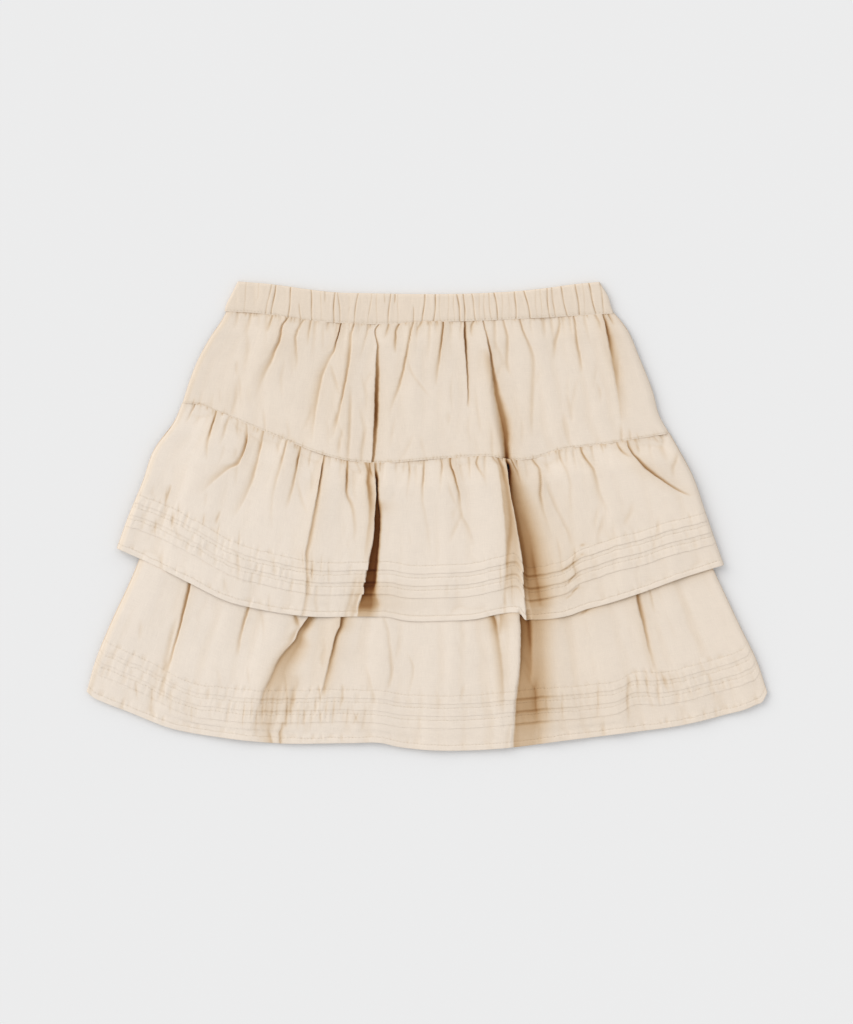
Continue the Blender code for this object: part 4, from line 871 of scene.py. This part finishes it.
def cloth_shell(name, panel, shape, inner, light, stitched, material, facing, inner_spacing):
    """Thin closed shell: a fine outer face at shape (x, y, z) and a plainer inner one below or above it."""
    x, y, z = shape
    rows, columns = x.shape
    grid = np.arange(rows * columns).reshape(rows, columns)
    outer = np.stack((x, y, z), -1).reshape(-1, 3)
    keep_rows = sparse(panel.below_top.mean(1), inner_spacing)
    keep_columns = sparse(panel.x.mean(0), inner_spacing)
    chosen = np.ix_(keep_rows, keep_columns)
    within = np.stack((panel.x[chosen], panel.y[chosen], inner[chosen]), -1).reshape(-1, 3)
    inner_grid = rows * columns + np.arange(len(within)).reshape(len(keep_rows), len(keep_columns))
    faces = []
    for points, turn in ((grid, facing), (inner_grid, -facing)):
        quads = np.stack((points[:-1, :-1], points[1:, :-1], points[1:, 1:], points[:-1, 1:]), -1)
        faces += quads.reshape(-1, 4)[:, ::turn].tolist()
    edges = ((grid[0], inner_grid[0], range(columns), keep_columns, 1),
             (grid[-1], inner_grid[-1], range(columns), keep_columns, -1),
             (grid[:, 0], inner_grid[:, 0], range(rows), keep_rows, -1),
             (grid[:, -1], inner_grid[:, -1], range(rows), keep_rows, 1))
    for first, second, first_at, second_at, turn in edges:
        strip = []
        zip_strip(strip, first.tolist(), second.tolist(), list(first_at), list(second_at))
        faces += [face[::turn * facing] for face in strip]
    mesh = bpy.data.meshes.new(name)
    mesh.from_pydata((np.vstack((outer, within)) * MM).tolist(), [], faces)
    # painted shade: small hollows darken the colour, on top of the creases' painted shade
    light = light / (1.0 + HOLLOW_DARK * hollow(facing * z))
    store(mesh, "light", np.concatenate((light.ravel(), np.ones(len(within)))))
    sewn = np.zeros_like(panel.x)
    for height in stitched:
        sewn = np.maximum(sewn, 1.0 - np.abs(panel.above_hem - height) / SEWN_REACH)
    store(mesh, "sewn", np.concatenate((sewn.ravel(), np.zeros(len(within)))))
    flat = np.stack((panel.u * MM, -panel.below_top * MM), -1)
    flat = np.concatenate((flat.reshape(-1, 2), flat[chosen].reshape(-1, 2)))
    corners = np.empty(len(mesh.loops), np.int32)
    mesh.loops.foreach_get("vertex_index", corners)
    mesh.uv_layers.new(name="cloth").data.foreach_set("uv", flat[corners].astype(np.float32).ravel())
    mesh.materials.append(material)
    mesh.shade_smooth()
    mesh.set_sharp_from_angle(angle=radians(75))
    return add_object(name, mesh)


def crinkle_field(random, panel, height):
    """Crinkles of washed cotton, which run down the cloth more than across it."""
    sizes = ((7.0, 16.0, 0.35), (13.0, 34.0, 0.6), (26.0, 60.0, 1.0))
    return height * sum(share * random_field(random, panel.u, panel.below_top, across, down)
                        for across, down, share in sizes)


def fall_field(random, panel, height):
    """Long soft waves in which gathered cloth falls from its seam."""
    return height * (random_field(random, panel.u, panel.below_top, 24.0, 170.0)
                     + 0.45 * random_field(random, panel.u, panel.below_top, 11.0, 80.0))


def pucker_shape(random, panel, height, strength):
    """Ripples that the stitching draws up beside it: rise, and shift down the cloth."""
    near = np.zeros_like(panel.x)
    for line in STITCHED:
        near = np.maximum(near, np.exp(-((panel.above_hem - line) / PUCKER_REACH) ** 2))
    near = np.maximum(near, 0.7 * band(panel.above_hem, *PUCKER_BAND))
    ripple = random_field(random, panel.u, panel.above_hem, 2.6, 9.0)
    sway = random_field(random, panel.u, panel.above_hem, 6.0, 14.0)
    share = strength(panel.x) * near
    return height * share * ripple, 1.6 * height * share * sway


def for_rows(panel, values, above=0.0):
    """Those values for the last rows of a panel, and another for all the rows above them."""
    return np.concatenate((np.full(panel.row_count - len(values), above), values))[:, None]


# Sewing

def stitch_tree():
    """Geometry Nodes: a row of stitches along each curve."""
    tree = bpy.data.node_groups.new("Stitches along a seam", "GeometryNodeTree")
    face = tree.interface
    face.new_socket("Seams", in_out="INPUT", socket_type="NodeSocketGeometry")
    for title in ("Stitch length", "Pitch", "Thread"):
        face.new_socket(title, in_out="INPUT", socket_type="NodeSocketFloat").subtype = "DISTANCE"
    face.new_socket("Seed", in_out="INPUT", socket_type="NodeSocketInt")
    face.new_socket("Finish", in_out="INPUT", socket_type="NodeSocketMaterial")
    face.new_socket("Stitches", in_out="OUTPUT", socket_type="NodeSocketGeometry")
    given = tree.nodes.new("NodeGroupInput").outputs

    def node(kind, inputs, **settings):
        """A node with its settings and inputs. A node that feeds an input does so by its first output."""
        made = tree.nodes.new(kind)
        for key, value in settings.items():
            setattr(made, key, value)
        for key, value in inputs.items():
            if isinstance(value, bpy.types.Node):
                value = next(socket for socket in value.outputs if socket.enabled)
            if isinstance(value, bpy.types.NodeSocket):
                tree.links.new(value, made.inputs[key])
            else:
                made.inputs[key].default_value = value
        return made

    path = node("GeometryNodeResampleCurve", {"Curve": given["Seams"], "Length": given["Pitch"]},
                mode="LENGTH")
    # the painted light of the cloth below each stitch, carried in the curve's radius
    lit = node("GeometryNodeStoreNamedAttribute",
               {"Geometry": path, "Name": "light", "Value": node("GeometryNodeInputRadius", {})},
               data_type="FLOAT")
    bead = node("GeometryNodeMeshIcoSphere", {"Radius": 0.5, "Subdivisions": 1})
    size = node("ShaderNodeCombineXYZ", {"X": given["Stitch length"], "Y": given["Thread"],
                                         "Z": given["Thread"]})
    stitch = node("GeometryNodeTransform", {"Geometry": bead, "Scale": size})
    turn = node("FunctionNodeAlignEulerToVector", {"Vector": node("GeometryNodeInputTangent", {})}, axis="X")
    skew, scale = (node("FunctionNodeRandomValue", {"Min": least, "Max": most, "Seed": given["Seed"]},
                        data_type="FLOAT") for least, most in ((-0.07, 0.07), (0.86, 1.08)))
    facing = node("FunctionNodeRotateEuler",
                  {"Rotation": turn, "Rotate By": node("ShaderNodeCombineXYZ", {"Z": skew})}, space="LOCAL")
    placed = node("GeometryNodeInstanceOnPoints",
                  {"Points": lit, "Instance": stitch, "Rotation": facing, "Scale": scale})
    real = node("GeometryNodeRealizeInstances", {"Geometry": placed})
    finish = node("GeometryNodeSetMaterial", {"Geometry": real, "Material": given["Finish"]})
    node("NodeGroupOutput", {"Stitches": node("GeometryNodeSetShadeSmooth", {"Geometry": finish})})
    return tree


def sew(name, paths):
    """Stitches along paths of (x, y, z, painted light) points, in millimetres, as one mesh."""
    sewing = bpy.context.scene.skirt_sewing
    curve = bpy.data.curves.new(name, "CURVE")
    curve.dimensions = "3D"
    for path in paths:
        spline = curve.splines.new("POLY")
        spline.points.add(len(path) - 1)
        spline.points.foreach_set("co", np.column_stack((path[:, :3] * MM, np.ones(len(path)))).ravel())
        spline.points.foreach_set("radius", path[:, 3])
    seams = add_object(name + "_seams", curve)
    tree = bpy.data.node_groups.get("Stitches along a seam") or stitch_tree()
    modifier = seams.modifiers.new("Stitches", "NODES")
    modifier.node_group = tree
    values = {"Stitch length": sewing.length, "Pitch": sewing.pitch, "Thread": sewing.thread,
              "Seed": sewing.seed, "Finish": thread_finish()}
    for item in tree.interface.items_tree:
        if item.item_type == "SOCKET" and item.in_out == "INPUT" and item.name in values:
            modifier[item.identifier] = values[item.name]
    seams.update_tag()
    view = bpy.context.evaluated_depsgraph_get()
    mesh = bpy.data.meshes.new_from_object(seams.evaluated_get(view))
    seams.modifiers.remove(modifier)
    bpy.data.objects.remove(seams)
    bpy.data.curves.remove(curve)
    mesh.name = name
    stitches = add_object(name, mesh)
    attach(stitches, "root")
    return stitches


def stitch_row(panel, shape, light, height, lift):
    """Path along the row whose height above the hem is nearest to that given, lifted off the cloth."""
    x, y, z = shape
    row = int(np.argmin(np.abs(panel.above_hem[:, 0] - height)))
    inset = panel.from_side[row] > 1.0
    return np.stack((x[row], y[row], z[row] + lift, light[row]), -1)[inset]


# Materials

class Wire:
    """A socket of a material, on which Python's operators add Math nodes."""

    def __init__(self, finish, socket):
        self.finish, self.socket = finish, socket

    def _math(self, operation, *values):
        return self.finish.node("ShaderNodeMath", {"operation": operation}, dict(enumerate(values)))

    def __add__(self, other):
        return self._math("ADD", self, other)

    def __sub__(self, other):
        return self._math("SUBTRACT", self, other)

    def __rsub__(self, other):
        return self._math("SUBTRACT", other, self)

    def __mul__(self, other):
        return self._math("MULTIPLY", self, other)

    def __pow__(self, other):
        return self._math("POWER", self, other)

    __radd__ = __add__
    __rmul__ = __mul__

    def wave(self):
        return self._math("SINE", self)

    def within(self, low, high):
        """0 at low, 1 at high, and held past them."""
        return self.finish.node("ShaderNodeMapRange", {"clamp": True},
                                {"Value": self, "From Min": low, "From Max": high})


class Finish:
    """A material in the making."""

    def __init__(self, name, roughness, sheen=0.0):
        self.material = bpy.data.materials.new(name)
        self.material.use_nodes = True
        self.nodes, self.links = self.material.node_tree.nodes, self.material.node_tree.links
        self.shader = self.nodes["Principled BSDF"]
        for socket, value in (("Roughness", roughness), ("Sheen Weight", sheen),
                              ("Specular IOR Level", 0.25), ("Sheen Roughness", 0.5)):
            self.shader.inputs[socket].default_value = value

    def node(self, kind, settings=(), inputs=(), output=0):
        """A node of that kind, with its settings and the values or links of its sockets."""
        made = self.nodes.new(kind)
        for key, value in dict(settings).items():
            setattr(made, key, value)
        for key, value in dict(inputs).items():
            self.feed(made.inputs[key], value)
        return Wire(self, made.outputs[output])

    def feed(self, socket, value):
        if isinstance(value, Wire):
            self.links.new(value.socket, socket)
        else:
            socket.default_value = (*value, 1.0) if socket.type == "RGBA" and len(value) == 3 else value

    def noise(self, place, scale, detail=2.0, roughness=0.5):
        return self.node("ShaderNodeTexNoise", {}, {"Vector": place, "Scale": scale, "Detail": detail,
                                                    "Roughness": roughness})

    def stretched(self, place, scale):
        return self.node("ShaderNodeMapping", {}, {"Vector": place, "Scale": scale})

    def scaled(self, colour, bright):
        return self.node("ShaderNodeVectorMath", {"operation": "SCALE"}, {0: colour, "Scale": bright})

    def paint(self, colour, bright):
        """Colour darkened by the painted shade in its mesh's light attribute, warmer as that goes."""
        tone = self.scaled(colour, bright)
        light = self.node("ShaderNodeAttribute", {"attribute_name": "light"}, output=2)
        left = self.node("ShaderNodeCombineXYZ", {},
                         {axis: light ** hue for axis, hue in zip("XYZ", SHADE_HUE)})
        self.feed(self.shader.inputs["Base Color"],
                  self.node("ShaderNodeVectorMath", {"operation": "MULTIPLY"}, {0: tone, 1: left}))

    def emboss(self, strength, distance, height):
        relief = {"Strength": strength, "Distance": distance, "Height": height}
        self.feed(self.shader.inputs["Normal"], self.node("ShaderNodeBump", {}, relief))


def cotton_finish(name, colour):
    """Washed plain-weave cotton: uneven threads, a soft bloom, and warm painted shade in creases."""
    finish = Finish(name, roughness=0.9, sheen=0.12)
    cloth = finish.node("ShaderNodeUVMap", {"uv_map": "cloth"})
    place = finish.node("ShaderNodeTexCoord", output="Object")
    split = finish.node("ShaderNodeSeparateXYZ", {}, {"Vector": cloth})
    across, down = split, Wire(finish, split.socket.node.outputs[1])
    warp = finish.noise(finish.stretched(cloth, (1900.0, 90.0, 1.0)), 1.0, 2.0)
    weft = finish.noise(finish.stretched(cloth, (90.0, 1900.0, 1.0)), 1.0, 2.0)
    threads = warp + weft - 1.0
    thread_turn = 2.0 * np.pi / THREAD_PITCH
    weave = (across * thread_turn).wave() * (down * thread_turn).wave()
    mottle = finish.noise(place, 55.0, 3.0, 0.6).within(0.3, 0.7)
    patches = finish.noise(place, 9.0, 2.0).within(0.3, 0.7)
    bright = 1.0 + threads * 0.10 + (mottle - 0.5) * 0.028 + (patches - 0.5) * 0.02
    sewn = finish.node("ShaderNodeAttribute", {"attribute_name": "sewn"}, output=2)
    holes = (across * (2.0 * np.pi / bpy.context.scene.skirt_sewing.pitch)).wave().within(-0.2, 0.8)
    bright = bright * (1.0 - sewn * (0.03 + holes * 0.08))
    finish.paint(colour, bright)
    finish.feed(finish.shader.inputs["Roughness"], 0.88 + mottle * 0.08)
    finish.emboss(0.55, 0.00022, weave * 0.35 + threads * 1.1 + finish.noise(place, 320.0, 3.0, 0.6) * 0.9)
    return finish.material


def thread_finish():
    """Spun sewing thread, darkened by the painted shade of the cloth it lies on."""
    found = bpy.data.materials.get("Sewing thread")
    if found:
        return found
    finish = Finish("Sewing thread", roughness=0.6, sheen=0.05)
    place = finish.node("ShaderNodeTexCoord", output="Object")
    twist = finish.noise(place, 2400.0, 1.0)
    finish.paint(tuple(bpy.context.scene.skirt_sewing.colour), 0.9 + twist * 0.2)
    finish.emboss(0.4, 0.0001, twist)
    return finish.material


def cotton_of(name):
    """The cotton of the tiers or of the casing, made once."""
    cloth = bpy.context.scene.skirt_cloth
    colours = {"Cream cotton": cloth.cotton, "Gathered cotton": cloth.casing}
    return bpy.data.materials.get(name) or cotton_finish(name, tuple(colours[name]))


def floor_finish():
    finish = Finish("Studio floor", roughness=0.95)
    place = finish.node("ShaderNodeTexCoord", output="Object")
    colour = tuple(bpy.context.scene.skirt_stage.floor)
    grain = 0.997 + finish.noise(place, 6.0, 1.0) * 0.006
    finish.feed(finish.shader.inputs["Base Color"], finish.scaled(colour, grain))
    finish.shader.inputs["Specular IOR Level"].default_value = 0.0
    return finish.material


# Pieces

def add_piece(name, node, panel, shape, inner, light, stitched, facing=1, spacing=3.2, lift=0.12,
              cotton="Cream cotton"):
    """A piece's cloth and the stitches on it."""
    piece = cloth_shell(name, panel, shape, inner, light, stitched, cotton_of(cotton), facing, spacing)
    sewing = sew(name + "_stitches", [stitch_row(panel, shape, light, height, lift) for height in stitched])
    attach(piece, "root")
    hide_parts(node)


def shares(count, power=1.2, start=0.0, end=1.0):
    """Row shares from start up to but not including end, closer together at the start."""
    return start + (end - start) * np.linspace(0.0, 1.0, count, endpoint=False) ** power


def front_tier(name, node, panel, form, creases, rows, random, stitched, tucks=None):
    """One front panel: its creases, crinkles, tucks and hem, and the stitching on it."""
    cloth = bpy.context.scene.skirt_cloth
    relief, lean, light = crease_relief(creases, panel.x, panel.y)
    waves = crinkle_field(random, panel, cloth.crinkle / MM) + fall_field(random, panel, cloth.fall / MM)
    relief += waves * smooth_step(panel.from_side / 6.0)
    shift_down = np.zeros_like(relief)
    if tucks:
        shift, strength = (smooth_line(line) for line in tucks)
        pucker, sway = pucker_shape(random, panel, cloth.pucker / MM, strength)
        relief += pucker
        tucked = band(panel.above_hem, *TUCK_SHIFT)
        shift_down = shift(panel.x) * tucked + sway * smooth_step(panel.above_hem / 3.0)
        profile = for_rows(panel, [max(rise, 0.0) / TUCK_RISE for _, rise in rows])
        lean = lean * (1.0 + 1.4 * profile)
        # painted shade: the tucks' edges darken where the cloth already lies in painted shade, and the
        # painted light falls off to the right
        edges = for_rows(panel, [min(abs(height - edge) for edge in TUCKS) < 1.0 for height, _ in rows])
        light = light * (1.0 - 0.5 * edges * (1.0 - light)) * (LIGHT_MIDDLE - LIGHT_FALL * panel.x)
    # painted shade along a tier's side edges
    light = light * (1.0 - RIM_DARK * (1.0 - smooth_step(panel.from_side / RIM_REACH)))
    # a line of painted shade inside the left edges
    inside = panel.x - panel.left(panel.y)
    light = light * (1.0 - LEFT_RIM * np.exp(-((inside - LEFT_RIM_AT) / LEFT_RIM_WIDE) ** 2))
    # painted shadow that the short ruffle's hem casts on the long one, strongest to the right
    if node == "lower_front":
        below = np.maximum(middle_hem(panel.x) - panel.y, 0.0)
        right = smooth_step((panel.x - HEM_SHADE_FROM) / HEM_SHADE_EASE)
        for dark, reach in HEM_SHADE:
            light = light * (1.0 - dark * right * np.exp(-below / reach))
    z = form(panel.x, panel.y, panel.from_side, relief)
    z = z - TUCKED_IN * (1.0 - smooth_step(panel.below_top / 1.6))
    wall = cloth.wall / MM
    inner = spread_min(z, 4, 2) - wall
    if node == "middle_front":
        inner = np.minimum(np.maximum(inner, under_middle(panel.x, panel.y)), z - 0.4)
    share = {"lower_front": 0.5, "middle_front": 0.75}.get(node, 1.0)
    z += share * for_rows(panel, [rise for _, rise in rows])
    room = smooth_step(panel.from_side / 4.0)
    shape = (panel.x + lean * room, panel.y + shift_down * room, z)
    add_piece(name, node, panel, shape, inner, light, stitched)


def back_tier(name, node, panel, low, creases, rows, random, stitched):
    """One back panel, seen from below: flat where it rests, with creases pressed up into it."""
    cloth = bpy.context.scene.skirt_cloth
    pressed, _, light = crease_relief(creases, panel.x, panel.y)
    pressed = -pressed + np.abs(crinkle_field(random, panel, 0.8 * cloth.crinkle / MM))
    underside = np.minimum(pressed, PRESSED_MOST)
    if rows:
        lift = for_rows(panel, [HEM_LIFT * (1.0 - rise / TUCK_RISE) for _, rise in rows], HEM_LIFT)
        underside = underside + lift * smooth_step(panel.from_side / 5.0)
    z = low(panel.x, panel.y) + np.maximum(underside, 0.0)
    inner = -spread_min(-z, 3, 2) + cloth.wall / MM
    inner = np.minimum(inner, low(panel.x, panel.y) + FLOOR_CLOTH)
    add_piece(name, node, panel, (panel.x, panel.y, z), inner, light, stitched,
              facing=-1, spacing=5.0, lift=0.14)


def mirrored(creases, shift, share):
    """Creases like those of the front, the other way round and shallow, for a hidden side."""
    return tuple(crease._replace(rows=tuple((shift - x, y, deep, wide) for x, y, deep, wide in crease.rows),
                                 depth=share * crease.depth, dark=share * crease.dark,
                                 left=crease.right, right=crease.left, ridge=0.0, lean=0.0)
                 for crease in creases)


def casing_shape(panel, random, side):
    """Rise of a casing, with the nips of its elastic, and the light left by the shade painted into them."""
    span = waist_edge(panel.x) - waist_seam(panel.x)
    share = (waist_edge(panel.x) - panel.y) / span
    rise = np.zeros_like(panel.x)
    light = np.ones_like(panel.x)
    for nip in CASING_NIPS:
        x = (blend(nip.x_top, nip.x_low, share) + 0.45 * np.sin(5.0 * share + 3.0 * nip.x_top)) * side
        aside = np.abs(panel.x - x)
        fade = band(share, nip.start, NIP_FADE, nip.end, NIP_FADE)
        depth = nip.depth ** 1.4 * fade * (0.85 + 0.15 * np.sin(9.0 * share + nip.x_low))
        rise -= NIP_DEPTH * depth * np.exp(-(aside / (0.35 + 0.2 * nip.depth)) ** 1.5)
        rise += NIP_SHOULDER * depth * np.exp(-((aside - 1.8) / 1.2) ** 2)
        # painted shade in the nip
        light *= 1.0 - (NIP_DARK - NIP_DARK_FALL * share) * depth * np.exp(-(aside / 0.5) ** 2)
    rise += 0.16 * random_field(random, panel.x, panel.y, 3.4, 24.0)
    rise += 0.28 * random_field(random, panel.x, panel.y, 9.0, 30.0)
    return rise, light


def add_casing(random, name, node, side, facing):
    rows = [(2.1, 0.0), (SEAM_STITCH, -0.14), (1.0, -0.02), (0.6, -0.05), (0.2, -0.12), (0.0, -0.3)]
    edge = (0.0, 0.006, 0.015, 0.03, 0.05, 0.08, 0.12)
    panel = Panel(waist_edge, waist_seam, CASING_SIDES, (), 0.5 if facing > 0 else 1.2, 0.0,
                  (*edge, *np.linspace(0.17, 0.97, 16)), rows,
                  gaps=(0.0, 0.0 if facing > 0 else HALF_SEAM))
    ripple, light = casing_shape(panel, random, side)
    from_edge = np.minimum(panel.below_top, panel.from_side)
    notch = np.minimum(ripple, 0.0) * np.exp(-panel.below_top / 2.0)
    if facing > 0:
        base = CASING + SEAM
        puff = CASING_PUFF * np.sin(np.pi * np.clip(panel.below_top / CASING_SPAN, 0.0, 1.0))
        z = base + round_up(CASING_EDGE, CASING + puff + ripple, from_edge / 2.6)
        z = np.maximum(z - SEAM_DROP * (1.0 - smooth_step(panel.above_hem / 5.0)), base + CASING_EDGE)
        inner = np.minimum(np.full_like(z, base - SEAM + 0.05), z - 0.3)
    else:
        z = np.clip(-0.9 * ripple + 0.15, 0.0, 1.2)
        z = np.maximum(z, 0.8 - round_up(0.0, 0.8, from_edge / 2.4))
        inner = np.full_like(z, CASING)
    z = np.maximum(z + facing * for_rows(panel, [rise for _, rise in rows]), 0.0)
    add_piece(name, node, panel, (panel.x, panel.y + notch, z), inner, light, [SEAM_STITCH],
              facing, 3.0, 0.05 * facing,
              "Gathered cotton")


class SKIRT_OT_waistband(bpy.types.Operator):
    """Add the elastic casing, front and back"""
    bl_idname = "skirt.waistband"
    bl_label = "Waistband"

    def execute(self, context):
        random = np.random.default_rng(SEED)
        add_casing(random, "waistband_front_cloth", "waistband_front", 1, 1)
        add_casing(random, "waistband_back_cloth", "waistband_back", -1, -1)
        return {"FINISHED"}


class SKIRT_OT_upper_tier(bpy.types.Operator):
    """Add the plain upper tier, front and back"""
    bl_idname = "skirt.upper_tier"
    bl_label = "Upper tier"

    def execute(self, context):
        random = np.random.default_rng(SEED + 1)
        cloth = context.scene.skirt_cloth
        rows = [(3.2, 0.0), (2.3, 0.05), (SEAM_STITCH, -GROOVE), (0.9, 0.08), (0.4, 0.0), (0.15, -0.1),
                (0.0, -0.3)]
        creases = UPPER_CREASES + gathers(random, waist_seam, (-178, 166), UPPER_CREASES, cloth.gather / MM)
        creases += small_gathers(random, tier_line, (-216, 214), UPPER_CREASES, 0.5 * cloth.gather / MM,
                                 (2.0, 5.0), (2.0, 7.0), (0.6, 1.3), 0.3, up=True)
        creases += wrinkles(random, 26, (-205, -40), (70, 165))
        creases += wrinkles(random, 22, (-40, 190), (70, 165))
        panel = Panel(waist_seam, tier_line, UPPER_SIDES, creases, cloth.grid / MM, 1.2, shares(82, 1.25),
                      rows, gaps=(-TURN_IN, 0.0))
        front_tier("upper_front_cloth", "upper_front", panel, upper_form, creases, rows, random,
                   [SEAM_STITCH])
        creases = UPPER_BACK_CREASES + mirrored(UPPER_CREASES, -12.0, 0.16)
        panel = Panel(waist_seam, back_tier_line, UPPER_SIDES, creases, 2.4, 0.6, shares(44, 1.2),
                      rows, gaps=(HALF_SEAM, HALF_SEAM))
        back_tier("upper_back_cloth", "upper_back", panel, on_floor, creases, (), random,
                  [SEAM_STITCH])
        return {"FINISHED"}


class SKIRT_OT_short_ruffle(bpy.types.Operator):
    """Add the short ruffle with its tucks, front and back"""
    bl_idname = "skirt.short_ruffle"
    bl_label = "Short ruffle"

    def execute(self, context):
        random = np.random.default_rng(SEED + 2)
        cloth = context.scene.skirt_cloth
        rows = tuck_rows()
        creases = MIDDLE_CREASES + gathers(random, tier_line, (-216, 214), MIDDLE_CREASES,
                                           cloth.gather / MM)
        creases += STEPS + SHORT_PLAID + wrinkles(random, 24, (-250, -50), (-70, 75))
        creases += wrinkles(random, 16, (-40, 240), (-75, 45))
        panel = Panel(tier_line, middle_hem, MIDDLE_SIDES, creases, cloth.grid / MM, 1.2, shares(56, 1.3),
                      rows, gaps=(-TURN_IN, 0.0))
        front_tier("short_ruffle_front", "middle_front", panel, middle_form, creases, rows, random,
                   STITCHED,
                   (MIDDLE_TUCK_SHIFT, MIDDLE_PUCKER))
        creases = MIDDLE_BACK_CREASES + mirrored(MIDDLE_CREASES, 8.0, 0.14)
        panel = Panel(back_tier_line, middle_hem, MIDDLE_SIDES, creases, 2.6, 0.6, shares(30, 1.2), rows,
                      gaps=(HALF_SEAM, 0.0))
        back_tier("short_ruffle_back", "middle_back", panel, on_floor, creases, rows, random,
                  STITCHED)
        return {"FINISHED"}


class SKIRT_OT_long_ruffle(bpy.types.Operator):
    """Add the long ruffle with its tucks, front and back"""
    bl_idname = "skirt.long_ruffle"
    bl_label = "Long ruffle"

    def execute(self, context):
        random = np.random.default_rng(SEED + 3)
        cloth = context.scene.skirt_cloth
        rows = tuck_rows()
        hidden = shares(12, 1.0, 0.0, 0.9)
        shown = np.linspace(0.9, 2.0, 52, endpoint=False)
        creases = LOWER_CREASES + PLAID + wrinkles(random, 14, (-285, -90), (-185, -80))
        creases += wrinkles(random, 14, (-60, 290), (-190, -100))
        panel = Panel(tier_line, lower_hem, LOWER_SIDES, creases, 1.3 * cloth.grid / MM, 1.2,
                      (*hidden, *shown), rows, knee=middle_hem, gaps=(HALF_SEAM, 0.0))
        front_tier("long_ruffle_front", "lower_front", panel, lower_form, creases, rows, random,
                   STITCHED, (LOWER_TUCK_SHIFT, LOWER_PUCKER))
        creases = LOWER_BACK_CREASES + mirrored(LOWER_CREASES, -6.0, 0.16)
        hidden = shares(14, 1.0, 0.0, 0.95)
        shown = np.linspace(0.95, 2.0, 30, endpoint=False)
        panel = Panel(back_tier_line, lower_hem, LOWER_SIDES, creases, 2.8, 0.6, (*hidden, *shown), rows,
                      knee=middle_hem, gaps=(HALF_SEAM, 0.0))
        back_tier("long_ruffle_back", "lower_back", panel, lower_back_low, creases, rows, random,
                  STITCHED)
        return {"FINISHED"}


class SKIRT_OT_stage(bpy.types.Operator):
    """Add the floor, the soft light and the camera that looks straight down"""
    bl_idname = "skirt.stage"
    bl_label = "Floor, light and camera"

    def execute(self, context):
        stage = context.scene.skirt_stage
        mesh = bpy.data.meshes.new("Floor")
        sides = ((-1, -1), (1, -1), (1, 1), (-1, 1))
        corners = [(x * FLOOR_REACH, y * FLOOR_REACH, -FLOOR_DROP) for x, y in sides]
        mesh.from_pydata(corners, [], [(0, 1, 2, 3)])
        mesh.materials.append(floor_finish())
        floor = add_object("Floor", mesh)
        light = bpy.data.lights.new("Key light", "SUN")
        light.energy, light.angle = stage.sun, radians(46)
        light.color = (1.0, 0.985, 0.96)
        add_object("Key light", light).rotation_euler = (0.0, radians(-56), radians(-35))
        world = bpy.data.worlds.new("Studio")
        world.use_nodes = True
        back = world.node_tree.nodes["Background"]
        back.inputs["Color"].default_value = (0.985, 0.99, 1.0, 1.0)
        back.inputs["Strength"].default_value = stage.sky
        context.scene.world = world
        lens = bpy.data.cameras.new("Camera")
        lens.sensor_fit, lens.sensor_height = "VERTICAL", 24.0
        lens.lens = lens.sensor_height * stage.distance / stage.view_height
        lens.clip_end = 4.0 * stage.distance
        camera = add_object("Camera", lens)
        camera.location = (*VIEW_MIDDLE, stage.distance)
        context.scene.camera = camera
        context.scene.view_settings.view_transform = "Standard"
        return {"FINISHED"}


class SKIRT_PT_pieces(bpy.types.Panel):
    """Pieces of the skirt and its stage"""
    bl_idname = "SKIRT_PT_pieces"
    bl_label = "Tiered ruffle skirt"
    bl_space_type = "VIEW_3D"
    bl_region_type = "UI"
    bl_category = "Skirt"

    def draw(self, context):
        scene = context.scene
        for group in (scene.skirt_cloth, scene.skirt_sewing, scene.skirt_stage):
            box = self.layout.box()
            for name in group.__annotations__:
                box.prop(group, name)
        for operator in OPERATORS:
            self.layout.operator(operator.bl_idname)


OPERATORS = (SKIRT_OT_stage, SKIRT_OT_long_ruffle, SKIRT_OT_short_ruffle, SKIRT_OT_upper_tier,
             SKIRT_OT_waistband)
GROUPS = (SkirtCloth, SkirtSewing, SkirtStage)
CLASSES = (*GROUPS, *OPERATORS, SKIRT_PT_pieces)


def register():
    for item in CLASSES:
        bpy.utils.register_class(item)
    for name, group in zip(("skirt_cloth", "skirt_sewing", "skirt_stage"), GROUPS):
        setattr(bpy.types.Scene, name, PointerProperty(type=group))


def unregister():
    for name in ("skirt_cloth", "skirt_sewing", "skirt_stage"):
        delattr(bpy.types.Scene, name)
    for item in reversed(CLASSES):
        bpy.utils.unregister_class(item)


def main():
    register()
    bpy.ops.skirt.stage()
    bpy.ops.skirt.long_ruffle()
    bpy.ops.skirt.short_ruffle()
    bpy.ops.skirt.upper_tier()
    bpy.ops.skirt.waistband()


if __name__ == "__main__":
    main()
